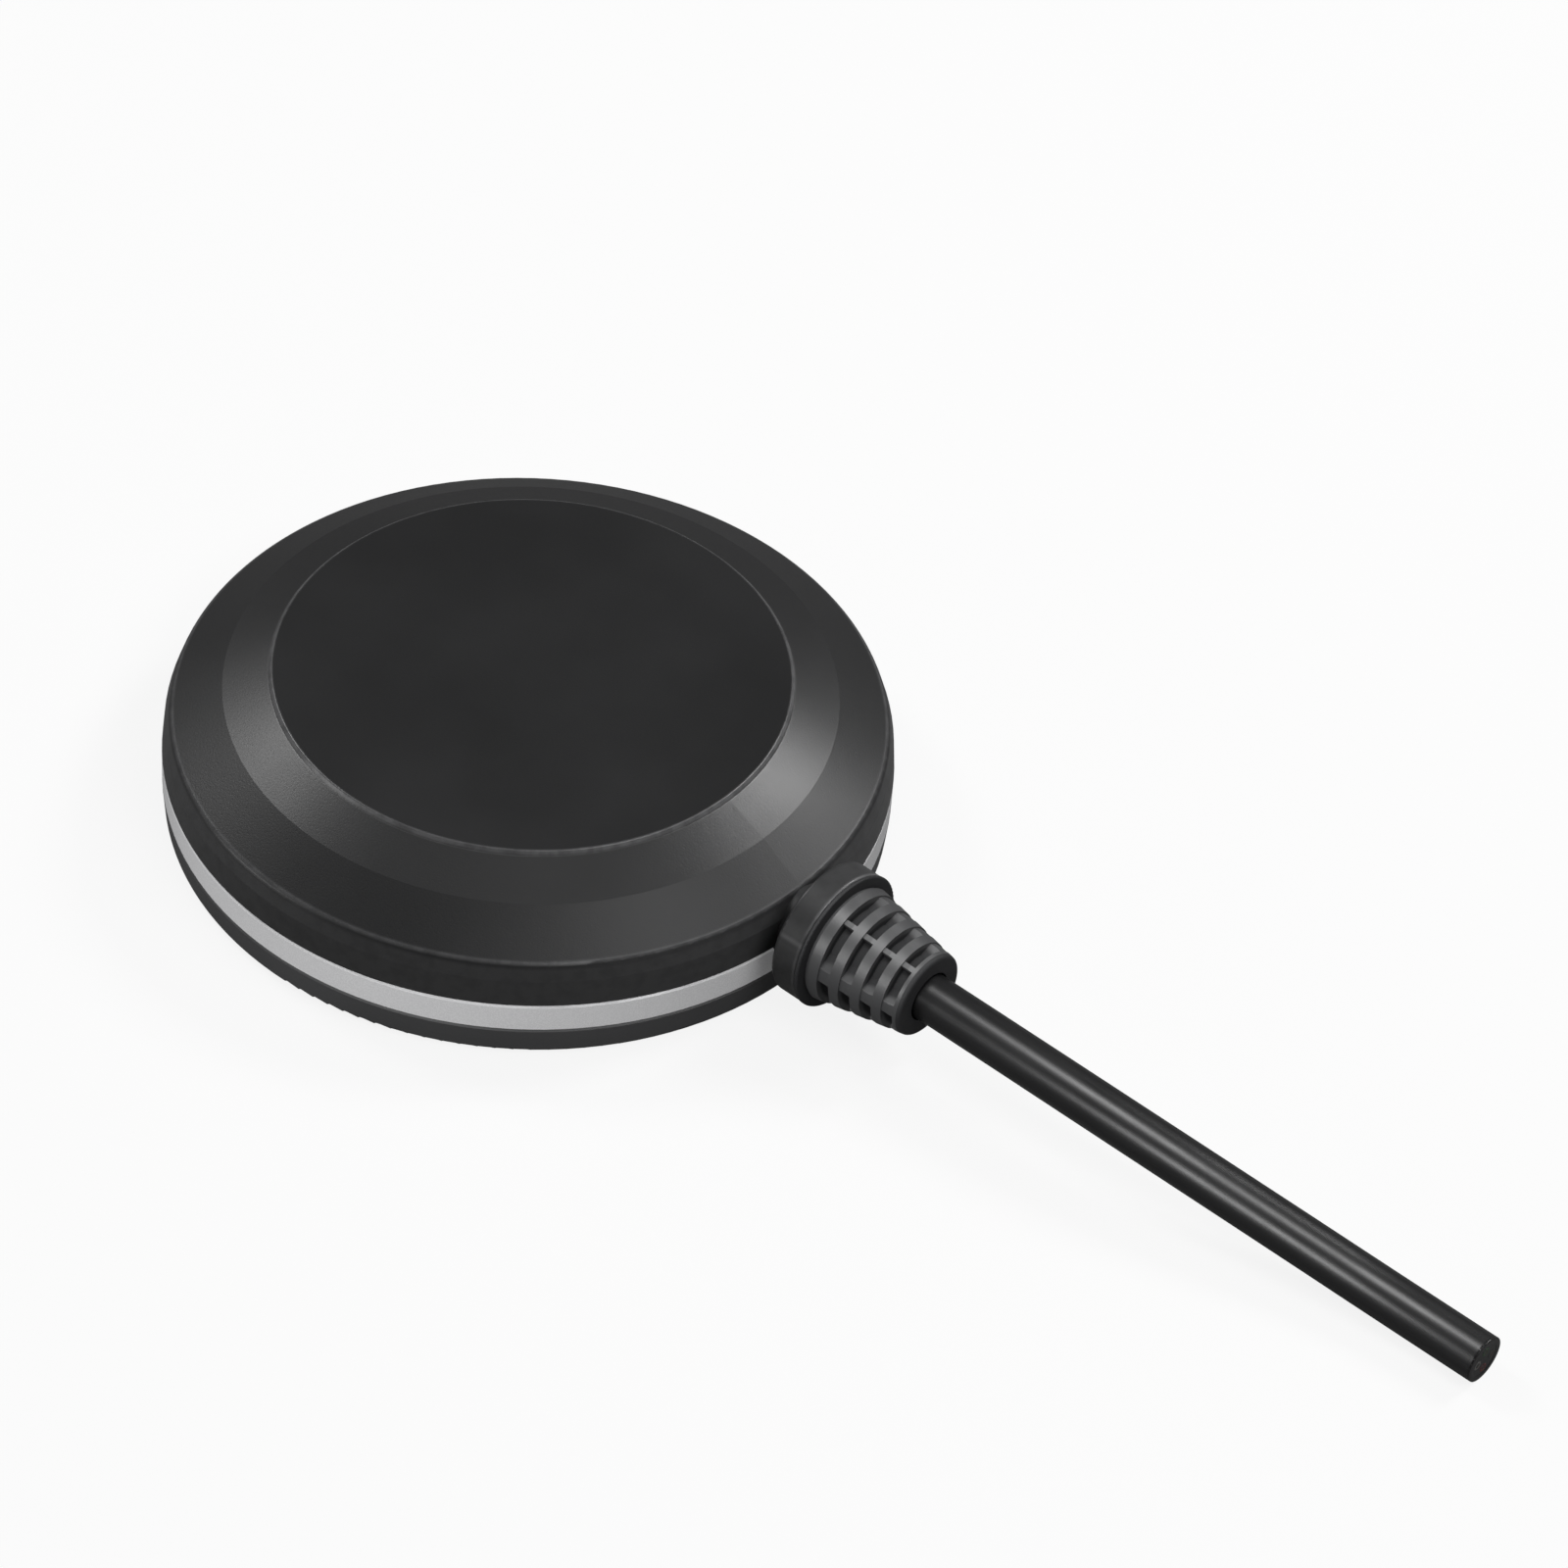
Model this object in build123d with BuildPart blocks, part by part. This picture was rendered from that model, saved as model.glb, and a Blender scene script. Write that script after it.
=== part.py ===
from build123d import *
import math
import os

os.makedirs("parts", exist_ok=True)

# Round satellite receiver with one cable. The origin is the centre of the flat underside,
# +Z is up and the cable leaves along +X. Millimetres.

# Housing, outside
puck_radius = 30.0
foot_proud = 0.3            # how far the foot pad stands below the base
base_inset = 0.2            # the base is smaller at its lower edge
base_round = 0.5
rim_top = 2.9               # upper edge of the base rim, where the trim ring sits
band_height = 2.65
wall_height = 2.55          # upright wall of the cover above the trim ring
draft_inset = 0.2
draft_rise = 1.37           # drafted band between wall and shoulder
shoulder_inset = 0.65
shoulder_width = 4.25
shoulder_rise = 2.63
shoulder_round = 0.7
bevel_width = 3.7
bevel_rise = 1.7
step_width = 0.25           # small step round the flat disc
step_rise = 0.35
step_round = 0.2
seam_chamfer = 0.15         # fine grooves along both edges of the trim ring

# Housing, inside
wall = 1.55
roof_thickness = 1.8
spigot_wall = 1.4
spigot_rise = 1.85          # the base's spigot stands inside the cover by this much
spigot_clearance = 0.15
gasket_thickness = 0.8
gasket_side_gap = 0.1
floor_thickness = 1.5
recess_depth = 0.5
recess_margin = 0.4         # the recess is this much wider than the screw heads' holes
pad_side_gap = 0.2
pad_chamfer = 0.2

# Cable boss of the cover
flange_ground_gap = 0.85    # the flange clears the surface by this much
collar_inset = 0.05         # the collar is a little smaller than the flange
collar_length = 2.45
neck_length = 1.4           # from the housing's wall to the collar
collar_front_round = 0.25
collar_back_round = 0.3
neck_half_width = 3.2
neck_half_height = 3.15
neck_drop = 0.5             # the neck's centre lies below the cable's axis
neck_cove = 0.5             # hollow rounding between neck and collar
neck_inset = 0.2            # the boss ends this far inside the spigot
neck_clearance = 0.15
trim_end_gap = 0.3

# Strain relief
plug_wall = 0.62            # wall round the cable in the part that sits in the boss
plug_clearance = 0.05
plug_length = 2.35          # from the flange back into the collar
snap_place = 1.7            # from the flange back to the groove
snap_length = 0.7
snap_depth = 0.3
flange_step = 0.85          # from the boot out to the flange's edge
flange_thickness = 0.35
flange_round = 0.12
flange_groove_length = 0.3  # fine groove between the flange and the first ring
flange_groove_depth = 0.15
boot_start_wall = 3.02
boot_end_wall = 1.52
boot_length = 8.7
boot_end_round = 0.3
boot_mouth_length = 2.2     # the cable's bore widens a little at the boot's end
boot_mouth_flare = 0.08
slot_rows = 4
slot_start = 1.2            # from the flange to the first row of slots
slot_end = 0.7              # from the last row to the boot's end
slot_width = 1.05
slot_depth = 0.95
web_count = 3               # of each kind, wide and narrow
web_angle = 53
web_crest_angle = 6         # half of a wide web's crest, in degrees
web_foot_angle = 24         # half of a wide web at the slots' floor
narrow_web = 0.45
web_recess = 0.1            # the webs lie this much below the rings

# Cable
cable_diameter = 4.0
cable_clearance = 0.08
cable_inside = 2.1          # how far the jacket reaches in past the boss
cable_end = 95.63
core_diameter = 0.8
core_circle_radius = 0.88

# Circuit board
antenna_head_gap = 0.4      # from the feed pin's head to the roof
board_thickness = 1.0
board_edge_gap = 4.9        # from the board's edge to the spigot
board_lip = 2.8             # from the header to the board's straight edge
notch_gap = 0.35

# Screws from below, base to cover
screw_count = 4
post_radius = 2.6
post_wall_gap = 0.3
base_post_wall = 0.7
post_above_board = 0.3      # where the posts of base and cover meet
screw_radius = 1.15
screw_hole_radius = 1.35
screw_length = 7.2
screw_head_radius = 2.1
screw_head_height = 1.5
screw_head_gap = 0.2
drive_length = 2.2
drive_width = 0.5
drive_depth = 0.6
pilot_spare = 0.3

# Screws from above, board to base
stud_edge_margin = 2.7      # from the studs' centres to the board's edge
stud_angles = (75, 180, 285)
stud_radius = 2.0
board_screw_radius = 0.8
board_screw_length = 4.0
board_screw_head_radius = 1.6
board_screw_head_height = 1.2
board_screw_gap = 0.1

# Magnet
magnet_radius = 11.0
magnet_thickness = 1.8
magnet_chamfer = 0.25
magnet_gap = 0.1
magnet_ring_wall = 1.0
magnet_ring_height = 1.4
rib_width = 0.9
rib_height = 0.9

# Patch antenna
patch_corner_gap = 3.722    # from the patch's corners to the screw posts, for a 25 mm patch
patch_thickness = 4.0
patch_chamfer = 0.5
antenna_pad_margin = 0.5    # the pad ends this far inside the patch
antenna_pad_thickness = 0.3
electrode_margin = 2.0
electrode_thickness = 0.1
electrode_corner = 2.0
feed_offset = 1.9
pin_radius = 0.45
pin_hole_gap = 0.05
pin_head_radius = 1.1
pin_head_height = 0.35
pin_tail = 0.4

# Header and plug of the cable's wires
way_count = 4
way_pitch = 1.25
header_gap = 1.1            # from the patch to the header
header_depth = 4.2
header_height = 3.2
header_side = 1.85          # from the outer pins to the header's sides
header_wall = 0.6
header_back_wall = 1.0
plug_gap = 0.06
plug_stick_out = 1.5
contact_size = 0.5
contact_reach = 2.4
contact_gap = 0.05

# Screen under the board: length, width and height
can_size = (12.0, 12.0, 1.8)
can_pin_gap = 1.6           # from the feed pin to the can
can_sheet = 0.25
can_corner = 0.6
can_vent_radius = 0.5
can_vent_pitch = 2.4
can_vent_grid = (4, 2)

# Moulded chips under the board: length, width and height
receiver_size = (5.0, 5.0, 0.9)
oscillator_size = (2.5, 2.0, 0.8)
filter_size = (1.8, 1.4, 0.7)
interface_size = (5.0, 5.0, 0.9)
crystal_size = (3.2, 2.5, 0.8)
chip_wall_gap = 0.6         # from a chip to the can's wall
oscillator_side = 3.0       # how far each lies beside the middle line
filter_side = -2.6
interface_centre = (7.0, -8.0)
crystal_gap = 1.1
chip_chamfer = 0.12

# Voltage regulator: length, width and height of its body and legs
regulator_centre = (8.5, 5.0)
regulator_body = (3.0, 1.5, 1.1)
regulator_leg = (0.4, 0.6, 0.2)
regulator_leg_pitch = 0.95

# Rechargeable cell
cell_can_gap = 4.6
cell_can_offset = -0.3
cell_radius = 3.4
cell_height = 2.1
cell_lid_radius = 2.7
cell_lid_height = 0.3

# Capacitors: length, width and height of each
capacitor_size = (1.6, 0.8, 0.8)
capacitor_pitch = (2.6, 1.9)
capacitor_grid = (4, 2)
capacitor_can_gap = 3.5
capacitor_can_offset = 2.0

# Wires between plug and cable
wire_lead = 1.2             # straight stretch behind the plug
wire_lay = 1.2              # straight stretch ahead of the jacket
wire_bend = 0.8

# Heights and radii of the housing, from the underside up and from the outside in
cover_foot = rim_top + band_height
draft_height = cover_foot + wall_height
shoulder_height = draft_height + draft_rise
bevel_height = shoulder_height + shoulder_rise
step_height = bevel_height + bevel_rise
disc_height = step_height + step_rise
shoulder_radius = puck_radius - shoulder_inset
bevel_radius = shoulder_radius - shoulder_width
step_radius = bevel_radius - bevel_width
disc_radius = step_radius - step_width
shoulder_slope = shoulder_rise / shoulder_width
wall_inner_radius = puck_radius - wall
spigot_radius = wall_inner_radius - spigot_clearance
cavity_radius = spigot_radius - spigot_wall
spigot_top = cover_foot + spigot_rise
shelf_height = spigot_top + gasket_thickness
ceiling_height = disc_height - roof_thickness
base_bottom = foot_proud
recess_top = base_bottom + recess_depth
floor_top = base_bottom + floor_thickness

# Radii round the cable, and places along it
cable_radius = cable_diameter / 2
cable_hole_radius = cable_radius + cable_clearance
plug_radius = cable_hole_radius + plug_wall
bore_radius = plug_radius + plug_clearance
boot_start_radius = cable_hole_radius + boot_start_wall
boot_end_radius = cable_hole_radius + boot_end_wall
flange_radius = boot_start_radius + flange_step
collar_radius = flange_radius - collar_inset
axis_height = flange_radius + flange_ground_gap
neck_centre = axis_height - neck_drop
collar_back = puck_radius + neck_length
collar_front = collar_back + collar_length
neck_root = cavity_radius - neck_inset
plug_end = collar_front - plug_length
snap_start = collar_front - snap_place
snap_end = snap_start + snap_length
cable_start = neck_root - cable_inside
flange_front = collar_front + flange_thickness
boot_end = flange_front + boot_length
slot_pitch = (boot_length - slot_start - slot_end - slot_width) / (slot_rows - 1)

# The board hangs below the antenna, which just clears the roof
screw_circle_radius = cavity_radius - post_radius - post_wall_gap
patch_side = (screw_circle_radius - post_radius - patch_corner_gap) * math.sqrt(2)
electrode_top = ceiling_height - antenna_head_gap - pin_head_height
patch_top = electrode_top - electrode_thickness
patch_bottom = patch_top - patch_thickness
board_top = patch_bottom - antenna_pad_thickness
board_bottom = board_top - board_thickness
board_radius = cavity_radius - board_edge_gap
stud_circle_radius = board_radius - stud_edge_margin
board_screw_tip = board_top - board_screw_length
post_meet = board_bottom + post_above_board
base_post_radius = screw_head_radius + screw_head_gap + base_post_wall
recess_radius = screw_circle_radius + screw_head_radius + screw_head_gap + recess_margin
screw_seat = recess_top + screw_head_gap + screw_head_height
screw_tip = screw_seat + screw_length
header_back = patch_side / 2 + header_gap
header_front = header_back + header_depth
board_flat = header_front + board_lip
can_right = feed_offset - can_pin_gap
can_centre = (can_right - can_size[0] / 2, 0)

screw_spots = PolarLocations(screw_circle_radius, screw_count, start_angle=180 / screw_count)
stud_spots = [
    (stud_circle_radius * math.cos(math.radians(a)), stud_circle_radius * math.sin(math.radians(a)))
    for a in stud_angles
]
cable_axis = Axis((0, 0, axis_height), (1, 0, 0))


# Room inside the cover: hollow, less the screw posts and the root of the cable boss
roof_at_cavity = bevel_height - (cavity_radius - bevel_radius) * shoulder_slope - roof_thickness
with BuildPart() as cover_room:
    with BuildSketch(Plane.XZ):
        with BuildLine():
            Polyline(
                (0, cover_foot),
                (wall_inner_radius, cover_foot),
                (wall_inner_radius, shelf_height),
                (cavity_radius, shelf_height),
                (cavity_radius, roof_at_cavity),
                (bevel_radius, bevel_height - roof_thickness),
                (disc_radius, ceiling_height),
                (0, ceiling_height),
                close=True,
            )
        make_face()
    revolve(axis=Axis.Z)
    with BuildSketch(Plane.XY.offset(post_meet)):
        with screw_spots:
            Circle(post_radius)
    extrude(amount=disc_height, mode=Mode.SUBTRACT)
    with BuildSketch(Plane.YZ.offset(neck_root)):
        with Locations((0, neck_centre)):
            Ellipse(neck_half_width, neck_half_height)
    extrude(amount=puck_radius - neck_root, mode=Mode.SUBTRACT)


# Top cover: disc, step, bevel, shoulder, drafted band and wall in one turned form,
# with the neck and collar of the cable boss on its side
with BuildPart() as top_cover:
    with BuildSketch(Plane.XZ):
        with BuildLine():
            FilletPolyline(
                (0, cover_foot),
                (puck_radius - seam_chamfer, cover_foot),
                (puck_radius, cover_foot + seam_chamfer),
                (puck_radius - draft_inset, draft_height),
                (shoulder_radius, shoulder_height),
                (bevel_radius, bevel_height),
                (step_radius, step_height),
                (disc_radius, disc_height),
                (0, disc_height),
                radius=[0, 0, 0, 0, shoulder_round, 0, 0, step_round, 0],
                close=True,
            )
        make_face()
    revolve(axis=Axis.Z)
    add(cover_room.part, mode=Mode.SUBTRACT)

    # Neck of the boss, joined to its round collar by a hollow rounding
    with BuildSketch(Plane.YZ.offset(neck_root)):
        with Locations((0, neck_centre)):
            Ellipse(neck_half_width, neck_half_height)
    extrude(amount=collar_back - neck_root)
    with BuildSketch(Plane.YZ.offset(collar_back)):
        with Locations((0, axis_height)):
            Circle(collar_radius)
    extrude(amount=collar_front - collar_back)
    collar_edges = top_cover.edges().filter_by(GeomType.CIRCLE)
    fillet(collar_edges.group_by(Axis.X)[-1], collar_front_round)
    cove_edges = top_cover.edges().filter_by_position(Axis.X, collar_back, collar_back)
    collar_ledge = collar_radius - max(neck_half_width, neck_half_height + neck_drop)
    cove_room = collar_ledge - collar_back_round
    fillet(cove_edges.filter_by(GeomType.ELLIPSE), min(neck_cove, 0.95 * cove_room))
    back_edges = top_cover.edges().filter_by_position(Axis.X, collar_back, collar_back)
    fillet(back_edges.sort_by(Edge.length)[-1], collar_back_round)

    # Bore for the strain relief, with a snap rib, and the narrower hole for the cable
    with BuildSketch(Plane.XZ):
        with BuildLine():
            Polyline(
                (neck_root, axis_height),
                (neck_root, axis_height + cable_hole_radius),
                (plug_end - plug_clearance, axis_height + cable_hole_radius),
                (plug_end - plug_clearance, axis_height + bore_radius),
                (snap_start + plug_clearance, axis_height + bore_radius),
                (snap_start + plug_clearance, axis_height + bore_radius - snap_depth),
                (snap_end - plug_clearance, axis_height + bore_radius - snap_depth),
                (snap_end - plug_clearance, axis_height + bore_radius),
                (collar_front, axis_height + bore_radius),
                (collar_front, axis_height),
                close=True,
            )
        make_face()
    revolve(axis=cable_axis, mode=Mode.SUBTRACT)

    # Pilot holes in the posts for the screws from below
    with BuildSketch(Plane.XY.offset(post_meet)):
        with screw_spots:
            Circle(screw_radius)
    extrude(amount=screw_tip + pilot_spare - post_meet, mode=Mode.SUBTRACT)
top_cover.part.label = "top_cover"
export_step(top_cover.part, "parts/top_cover.step")


# Base shell: rim, spigot for the cover, posts for board and screws, ring for the magnet
with BuildPart() as base_shell:
    with BuildSketch(Plane.XZ):
        with BuildLine():
            FilletPolyline(
                (0, base_bottom),
                (puck_radius - base_inset, base_bottom),
                (puck_radius, rim_top - seam_chamfer),
                (puck_radius - seam_chamfer, rim_top),
                (spigot_radius, rim_top),
                (spigot_radius, spigot_top),
                (cavity_radius, spigot_top),
                (cavity_radius, floor_top),
                (0, floor_top),
                radius=[0, base_round, 0, 0, 0, 0, 0, 0, 0],
                close=True,
            )
        make_face()
    revolve(axis=Axis.Z)
    with BuildSketch(Plane.XY.offset(floor_top)):
        with screw_spots:
            Circle(base_post_radius)
    extrude(amount=post_meet - floor_top)
    with BuildSketch(Plane.XY.offset(floor_top)):
        with Locations(stud_spots):
            Circle(stud_radius)
    extrude(amount=board_bottom - floor_top)
    with BuildSketch(Plane.XY.offset(floor_top)):
        Circle(magnet_radius + magnet_gap + magnet_ring_wall)
        Circle(magnet_radius + magnet_gap, mode=Mode.SUBTRACT)
    extrude(amount=magnet_ring_height)
    rib_start = magnet_radius + magnet_gap + magnet_ring_wall / 2
    rib_end = screw_circle_radius - base_post_radius + magnet_ring_wall / 2
    with BuildSketch(Plane.XY.offset(floor_top)):
        with PolarLocations((rib_start + rib_end) / 2, screw_count, start_angle=180 / screw_count):
            Rectangle(rib_end - rib_start, rib_width)
    extrude(amount=rib_height)

    # Recess of the foot pad, counterbored screw holes and pilot holes of the board screws
    with BuildSketch(Plane.XY.offset(base_bottom)):
        Circle(recess_radius)
    extrude(amount=recess_depth, mode=Mode.SUBTRACT)
    with BuildSketch(Plane.XY.offset(recess_top)):
        with screw_spots:
            Circle(screw_head_radius + screw_head_gap)
    extrude(amount=screw_seat - recess_top, mode=Mode.SUBTRACT)
    with BuildSketch(Plane.XY.offset(screw_seat)):
        with screw_spots:
            Circle(screw_hole_radius)
    extrude(amount=post_meet - screw_seat, mode=Mode.SUBTRACT)
    with BuildSketch(Plane.XY.offset(board_screw_tip)):
        with Locations(stud_spots):
            Circle(board_screw_radius)
    extrude(amount=board_bottom - board_screw_tip, mode=Mode.SUBTRACT)

    # Saddle in rim and spigot for the neck of the cable boss
    with BuildSketch(Plane.YZ.offset(cavity_radius - spigot_wall)):
        with Locations((0, neck_centre)):
            Ellipse(neck_half_width + neck_clearance, neck_half_height + neck_clearance)
        with Locations((0, neck_centre + neck_half_height / 2)):
            Rectangle(2 * (neck_half_width + neck_clearance), neck_half_height)
    extrude(amount=puck_radius, mode=Mode.SUBTRACT)
base_shell.part.label = "base_shell"
export_step(base_shell.part, "parts/base_shell.step")


# Trim ring between base and cover, open where the cable boss passes
with BuildPart() as trim_ring:
    with BuildSketch(Plane.XZ):
        with BuildLine():
            Polyline(
                (wall_inner_radius, rim_top),
                (puck_radius - seam_chamfer, rim_top),
                (puck_radius, rim_top + seam_chamfer),
                (puck_radius, cover_foot - seam_chamfer),
                (puck_radius - seam_chamfer, cover_foot),
                (wall_inner_radius, cover_foot),
                close=True,
            )
        make_face()
    revolve(axis=Axis.Z)
    with BuildSketch(Plane.XY.offset(rim_top)):
        with Locations((puck_radius, 0)):
            Rectangle(puck_radius, 2 * (neck_half_width + trim_end_gap))
    extrude(amount=band_height, mode=Mode.SUBTRACT)
trim_ring.part.label = "trim_ring"
export_step(trim_ring.part, "parts/trim_ring.step")


# Seal gasket on top of the spigot, its ends against the boss
with BuildPart() as seal_gasket:
    with BuildSketch(Plane.XY.offset(spigot_top)):
        Circle(spigot_radius - gasket_side_gap)
        Circle(cavity_radius + gasket_side_gap, mode=Mode.SUBTRACT)
        with Locations((puck_radius, 0)):
            Rectangle(puck_radius, 2 * (neck_half_width + neck_clearance), mode=Mode.SUBTRACT)
    extrude(amount=gasket_thickness)
seal_gasket.part.label = "seal_gasket"
export_step(seal_gasket.part, "parts/seal_gasket.step")


# Rubber foot pad in its recess
with BuildPart() as foot_pad:
    with BuildSketch(Plane.XY):
        Circle(recess_radius - pad_side_gap)
    extrude(amount=foot_proud + recess_depth)
    chamfer(foot_pad.edges().group_by(Axis.Z)[0], pad_chamfer)
foot_pad.part.label = "foot_pad"
export_step(foot_pad.part, "parts/foot_pad.step")


# Disc magnet
with BuildPart() as magnet:
    with BuildSketch(Plane.XY.offset(floor_top)):
        Circle(magnet_radius)
    extrude(amount=magnet_thickness)
    chamfer(magnet.edges().filter_by(GeomType.CIRCLE), magnet_chamfer)
magnet.part.label = "magnet"
export_step(magnet.part, "parts/magnet.step")


# Four self-tapping screws with crossed slots, heads down
with BuildPart() as base_screws:
    with BuildSketch(Plane.XY.offset(screw_seat - screw_head_height)):
        with screw_spots:
            Circle(screw_head_radius)
    extrude(amount=screw_head_height)
    with BuildSketch(Plane.XY.offset(screw_seat)):
        with screw_spots:
            Circle(screw_radius)
    extrude(amount=screw_length)
    with BuildSketch(Plane.XY.offset(screw_seat - screw_head_height)):
        with screw_spots:
            Rectangle(drive_length, drive_width)
            Rectangle(drive_width, drive_length)
    extrude(amount=drive_depth, mode=Mode.SUBTRACT)
base_screws.part.label = "base_screws"
export_step(base_screws.part, "parts/base_screws.step")


# Circuit board with a flat towards the cable and a notch at each screw post
with BuildPart() as circuit_board:
    with BuildSketch(Plane.XY.offset(board_bottom)):
        Circle(board_radius)
        with Locations((board_flat + board_radius / 2, 0)):
            Rectangle(board_radius, 2 * board_radius, mode=Mode.SUBTRACT)
        with screw_spots:
            Circle(base_post_radius + notch_gap, mode=Mode.SUBTRACT)
        with Locations(stud_spots):
            Circle(board_screw_radius + board_screw_gap, mode=Mode.SUBTRACT)
        with Locations((feed_offset, 0)):
            Circle(pin_radius + pin_hole_gap, mode=Mode.SUBTRACT)
    extrude(amount=board_thickness)
circuit_board.part.label = "circuit_board"
export_step(circuit_board.part, "parts/circuit_board.step")


# Three small screws that hold the board on its studs
with BuildPart() as board_screws:
    with BuildSketch(Plane.XY.offset(board_top)):
        with Locations(stud_spots):
            Circle(board_screw_head_radius)
    extrude(amount=board_screw_head_height)
    with BuildSketch(Plane.XY.offset(board_screw_tip)):
        with Locations(stud_spots):
            Circle(board_screw_radius)
    extrude(amount=board_screw_length)
    with BuildSketch(Plane.XY.offset(board_top + board_screw_head_height)):
        with Locations(stud_spots):
            Rectangle(drive_length, drive_width)
            Rectangle(drive_width, drive_length)
    extrude(amount=-drive_depth, mode=Mode.SUBTRACT)
board_screws.part.label = "board_screws"
export_step(board_screws.part, "parts/board_screws.step")


# Foam pad under the patch
with BuildPart() as antenna_pad:
    with BuildSketch(Plane.XY.offset(board_top)):
        Rectangle(patch_side - 2 * antenna_pad_margin, patch_side - 2 * antenna_pad_margin)
        with Locations((feed_offset, 0)):
            Circle(pin_radius + pin_hole_gap, mode=Mode.SUBTRACT)
    extrude(amount=antenna_pad_thickness)
antenna_pad.part.label = "antenna_pad"
export_step(antenna_pad.part, "parts/antenna_pad.step")


# Ceramic patch antenna, its silvered face and its feed pin
with BuildPart() as patch_antenna:
    with BuildSketch(Plane.XY.offset(patch_bottom)):
        Rectangle(patch_side, patch_side)
        with Locations((feed_offset, 0)):
            Circle(pin_radius + pin_hole_gap, mode=Mode.SUBTRACT)
    extrude(amount=patch_thickness)
    corners = patch_antenna.edges().filter_by(Axis.Z).filter_by(GeomType.LINE)
    chamfer(corners.group_by(Edge.length)[-1].sort_by_distance((0, 0, patch_bottom))[-4:], patch_chamfer)
patch_antenna.part.label = "patch_antenna"
export_step(patch_antenna.part, "parts/patch_antenna.step")

with BuildPart() as antenna_electrode:
    with BuildSketch(Plane.XY.offset(patch_top)) as electrode_face:
        Rectangle(patch_side - 2 * electrode_margin, patch_side - 2 * electrode_margin)
        cut_corners = electrode_face.vertices().sort_by(Axis((0, 0, 0), (1, 1, 0)))
        chamfer([cut_corners[0], cut_corners[-1]], electrode_corner)
        with Locations((feed_offset, 0)):
            Circle(pin_radius + pin_hole_gap, mode=Mode.SUBTRACT)
    extrude(amount=electrode_thickness)
antenna_electrode.part.label = "antenna_electrode"
export_step(antenna_electrode.part, "parts/antenna_electrode.step")

with BuildPart() as antenna_pin:
    with BuildSketch(Plane.XY.offset(board_bottom - pin_tail)):
        with Locations((feed_offset, 0)):
            Circle(pin_radius)
    extrude(amount=electrode_top - board_bottom + pin_tail)
    with BuildSketch(Plane.XY.offset(electrode_top)):
        with Locations((feed_offset, 0)):
            Circle(pin_head_radius)
    extrude(amount=pin_head_height)
    chamfer(antenna_pin.edges().group_by(Axis.Z)[-1], pin_head_height / 3)
antenna_pin.part.label = "antenna_pin"
export_step(antenna_pin.part, "parts/antenna_pin.step")


# Tinned screen on the underside of the board, open upwards, with vent holes
with BuildPart() as shield_can:
    with BuildSketch(Plane.XY.offset(board_bottom)):
        with Locations(can_centre):
            RectangleRounded(can_size[0], can_size[1], can_corner)
    extrude(amount=-can_size[2])
    with BuildSketch(Plane.XY.offset(board_bottom)):
        with Locations(can_centre):
            RectangleRounded(can_size[0] - 2 * can_sheet, can_size[1] - 2 * can_sheet, can_corner - can_sheet)
    extrude(amount=can_sheet - can_size[2], mode=Mode.SUBTRACT)
    with BuildSketch(Plane.XY.offset(board_bottom - can_size[2])):
        with Locations(can_centre):
            with GridLocations(can_vent_pitch, can_vent_pitch, *can_vent_grid):
                Circle(can_vent_radius)
    extrude(amount=can_sheet, mode=Mode.SUBTRACT)
shield_can.part.label = "shield_can"
export_step(shield_can.part, "parts/shield_can.step")


# Moulded chips under the board, with a small chamfer round their faces. Three are in the can:
# the receiver at its far wall, the oscillator and the filter at the wall by the feed pin
chip_room = can_size[0] - 2 * can_sheet - 2 * chip_wall_gap
can_left_side = can_centre[0] - chip_room / 2
can_right_side = can_centre[0] + chip_room / 2
crystal_middle = interface_centre[0] + interface_size[0] / 2 + crystal_gap + crystal_size[0] / 2
chips = {
    "receiver_chip": (receiver_size, (can_left_side + receiver_size[0] / 2, 1.0)),
    "reference_oscillator": (oscillator_size, (can_right_side - oscillator_size[0] / 2, oscillator_side)),
    "input_filter": (filter_size, (can_right_side - filter_size[0] / 2, filter_side)),
    "interface_chip": (interface_size, interface_centre),
    "interface_crystal": (crystal_size, (crystal_middle, interface_centre[1])),
}
for chip_name, (chip_size, chip_centre) in chips.items():
    with BuildPart() as chip:
        with BuildSketch(Plane.XY.offset(board_bottom)):
            with Locations(chip_centre):
                Rectangle(chip_size[0], chip_size[1])
        extrude(amount=-chip_size[2])
        chamfer(chip.edges().group_by(Axis.Z)[0], chip_chamfer)
    chip.part.label = chip_name
    export_step(chip.part, f"parts/{chip_name}.step")


# Voltage regulator: a small body on three flat legs
with BuildPart() as voltage_regulator:
    with BuildSketch(Plane.XY.offset(board_bottom - regulator_leg[2] / 2)):
        with Locations(regulator_centre):
            Rectangle(regulator_body[0], regulator_body[1])
    extrude(amount=-regulator_body[2])
    leg_reach = regulator_body[1] / 2 + regulator_leg[1] / 2
    leg_spots = [
        (regulator_centre[0] - regulator_leg_pitch, regulator_centre[1] - leg_reach),
        (regulator_centre[0] + regulator_leg_pitch, regulator_centre[1] - leg_reach),
        (regulator_centre[0], regulator_centre[1] + leg_reach),
    ]
    with BuildSketch(Plane.XY.offset(board_bottom)):
        with Locations(leg_spots):
            Rectangle(regulator_leg[0], 2 * regulator_leg[1])
    extrude(amount=-regulator_leg[2])
voltage_regulator.part.label = "voltage_regulator"
export_step(voltage_regulator.part, "parts/voltage_regulator.step")


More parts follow.
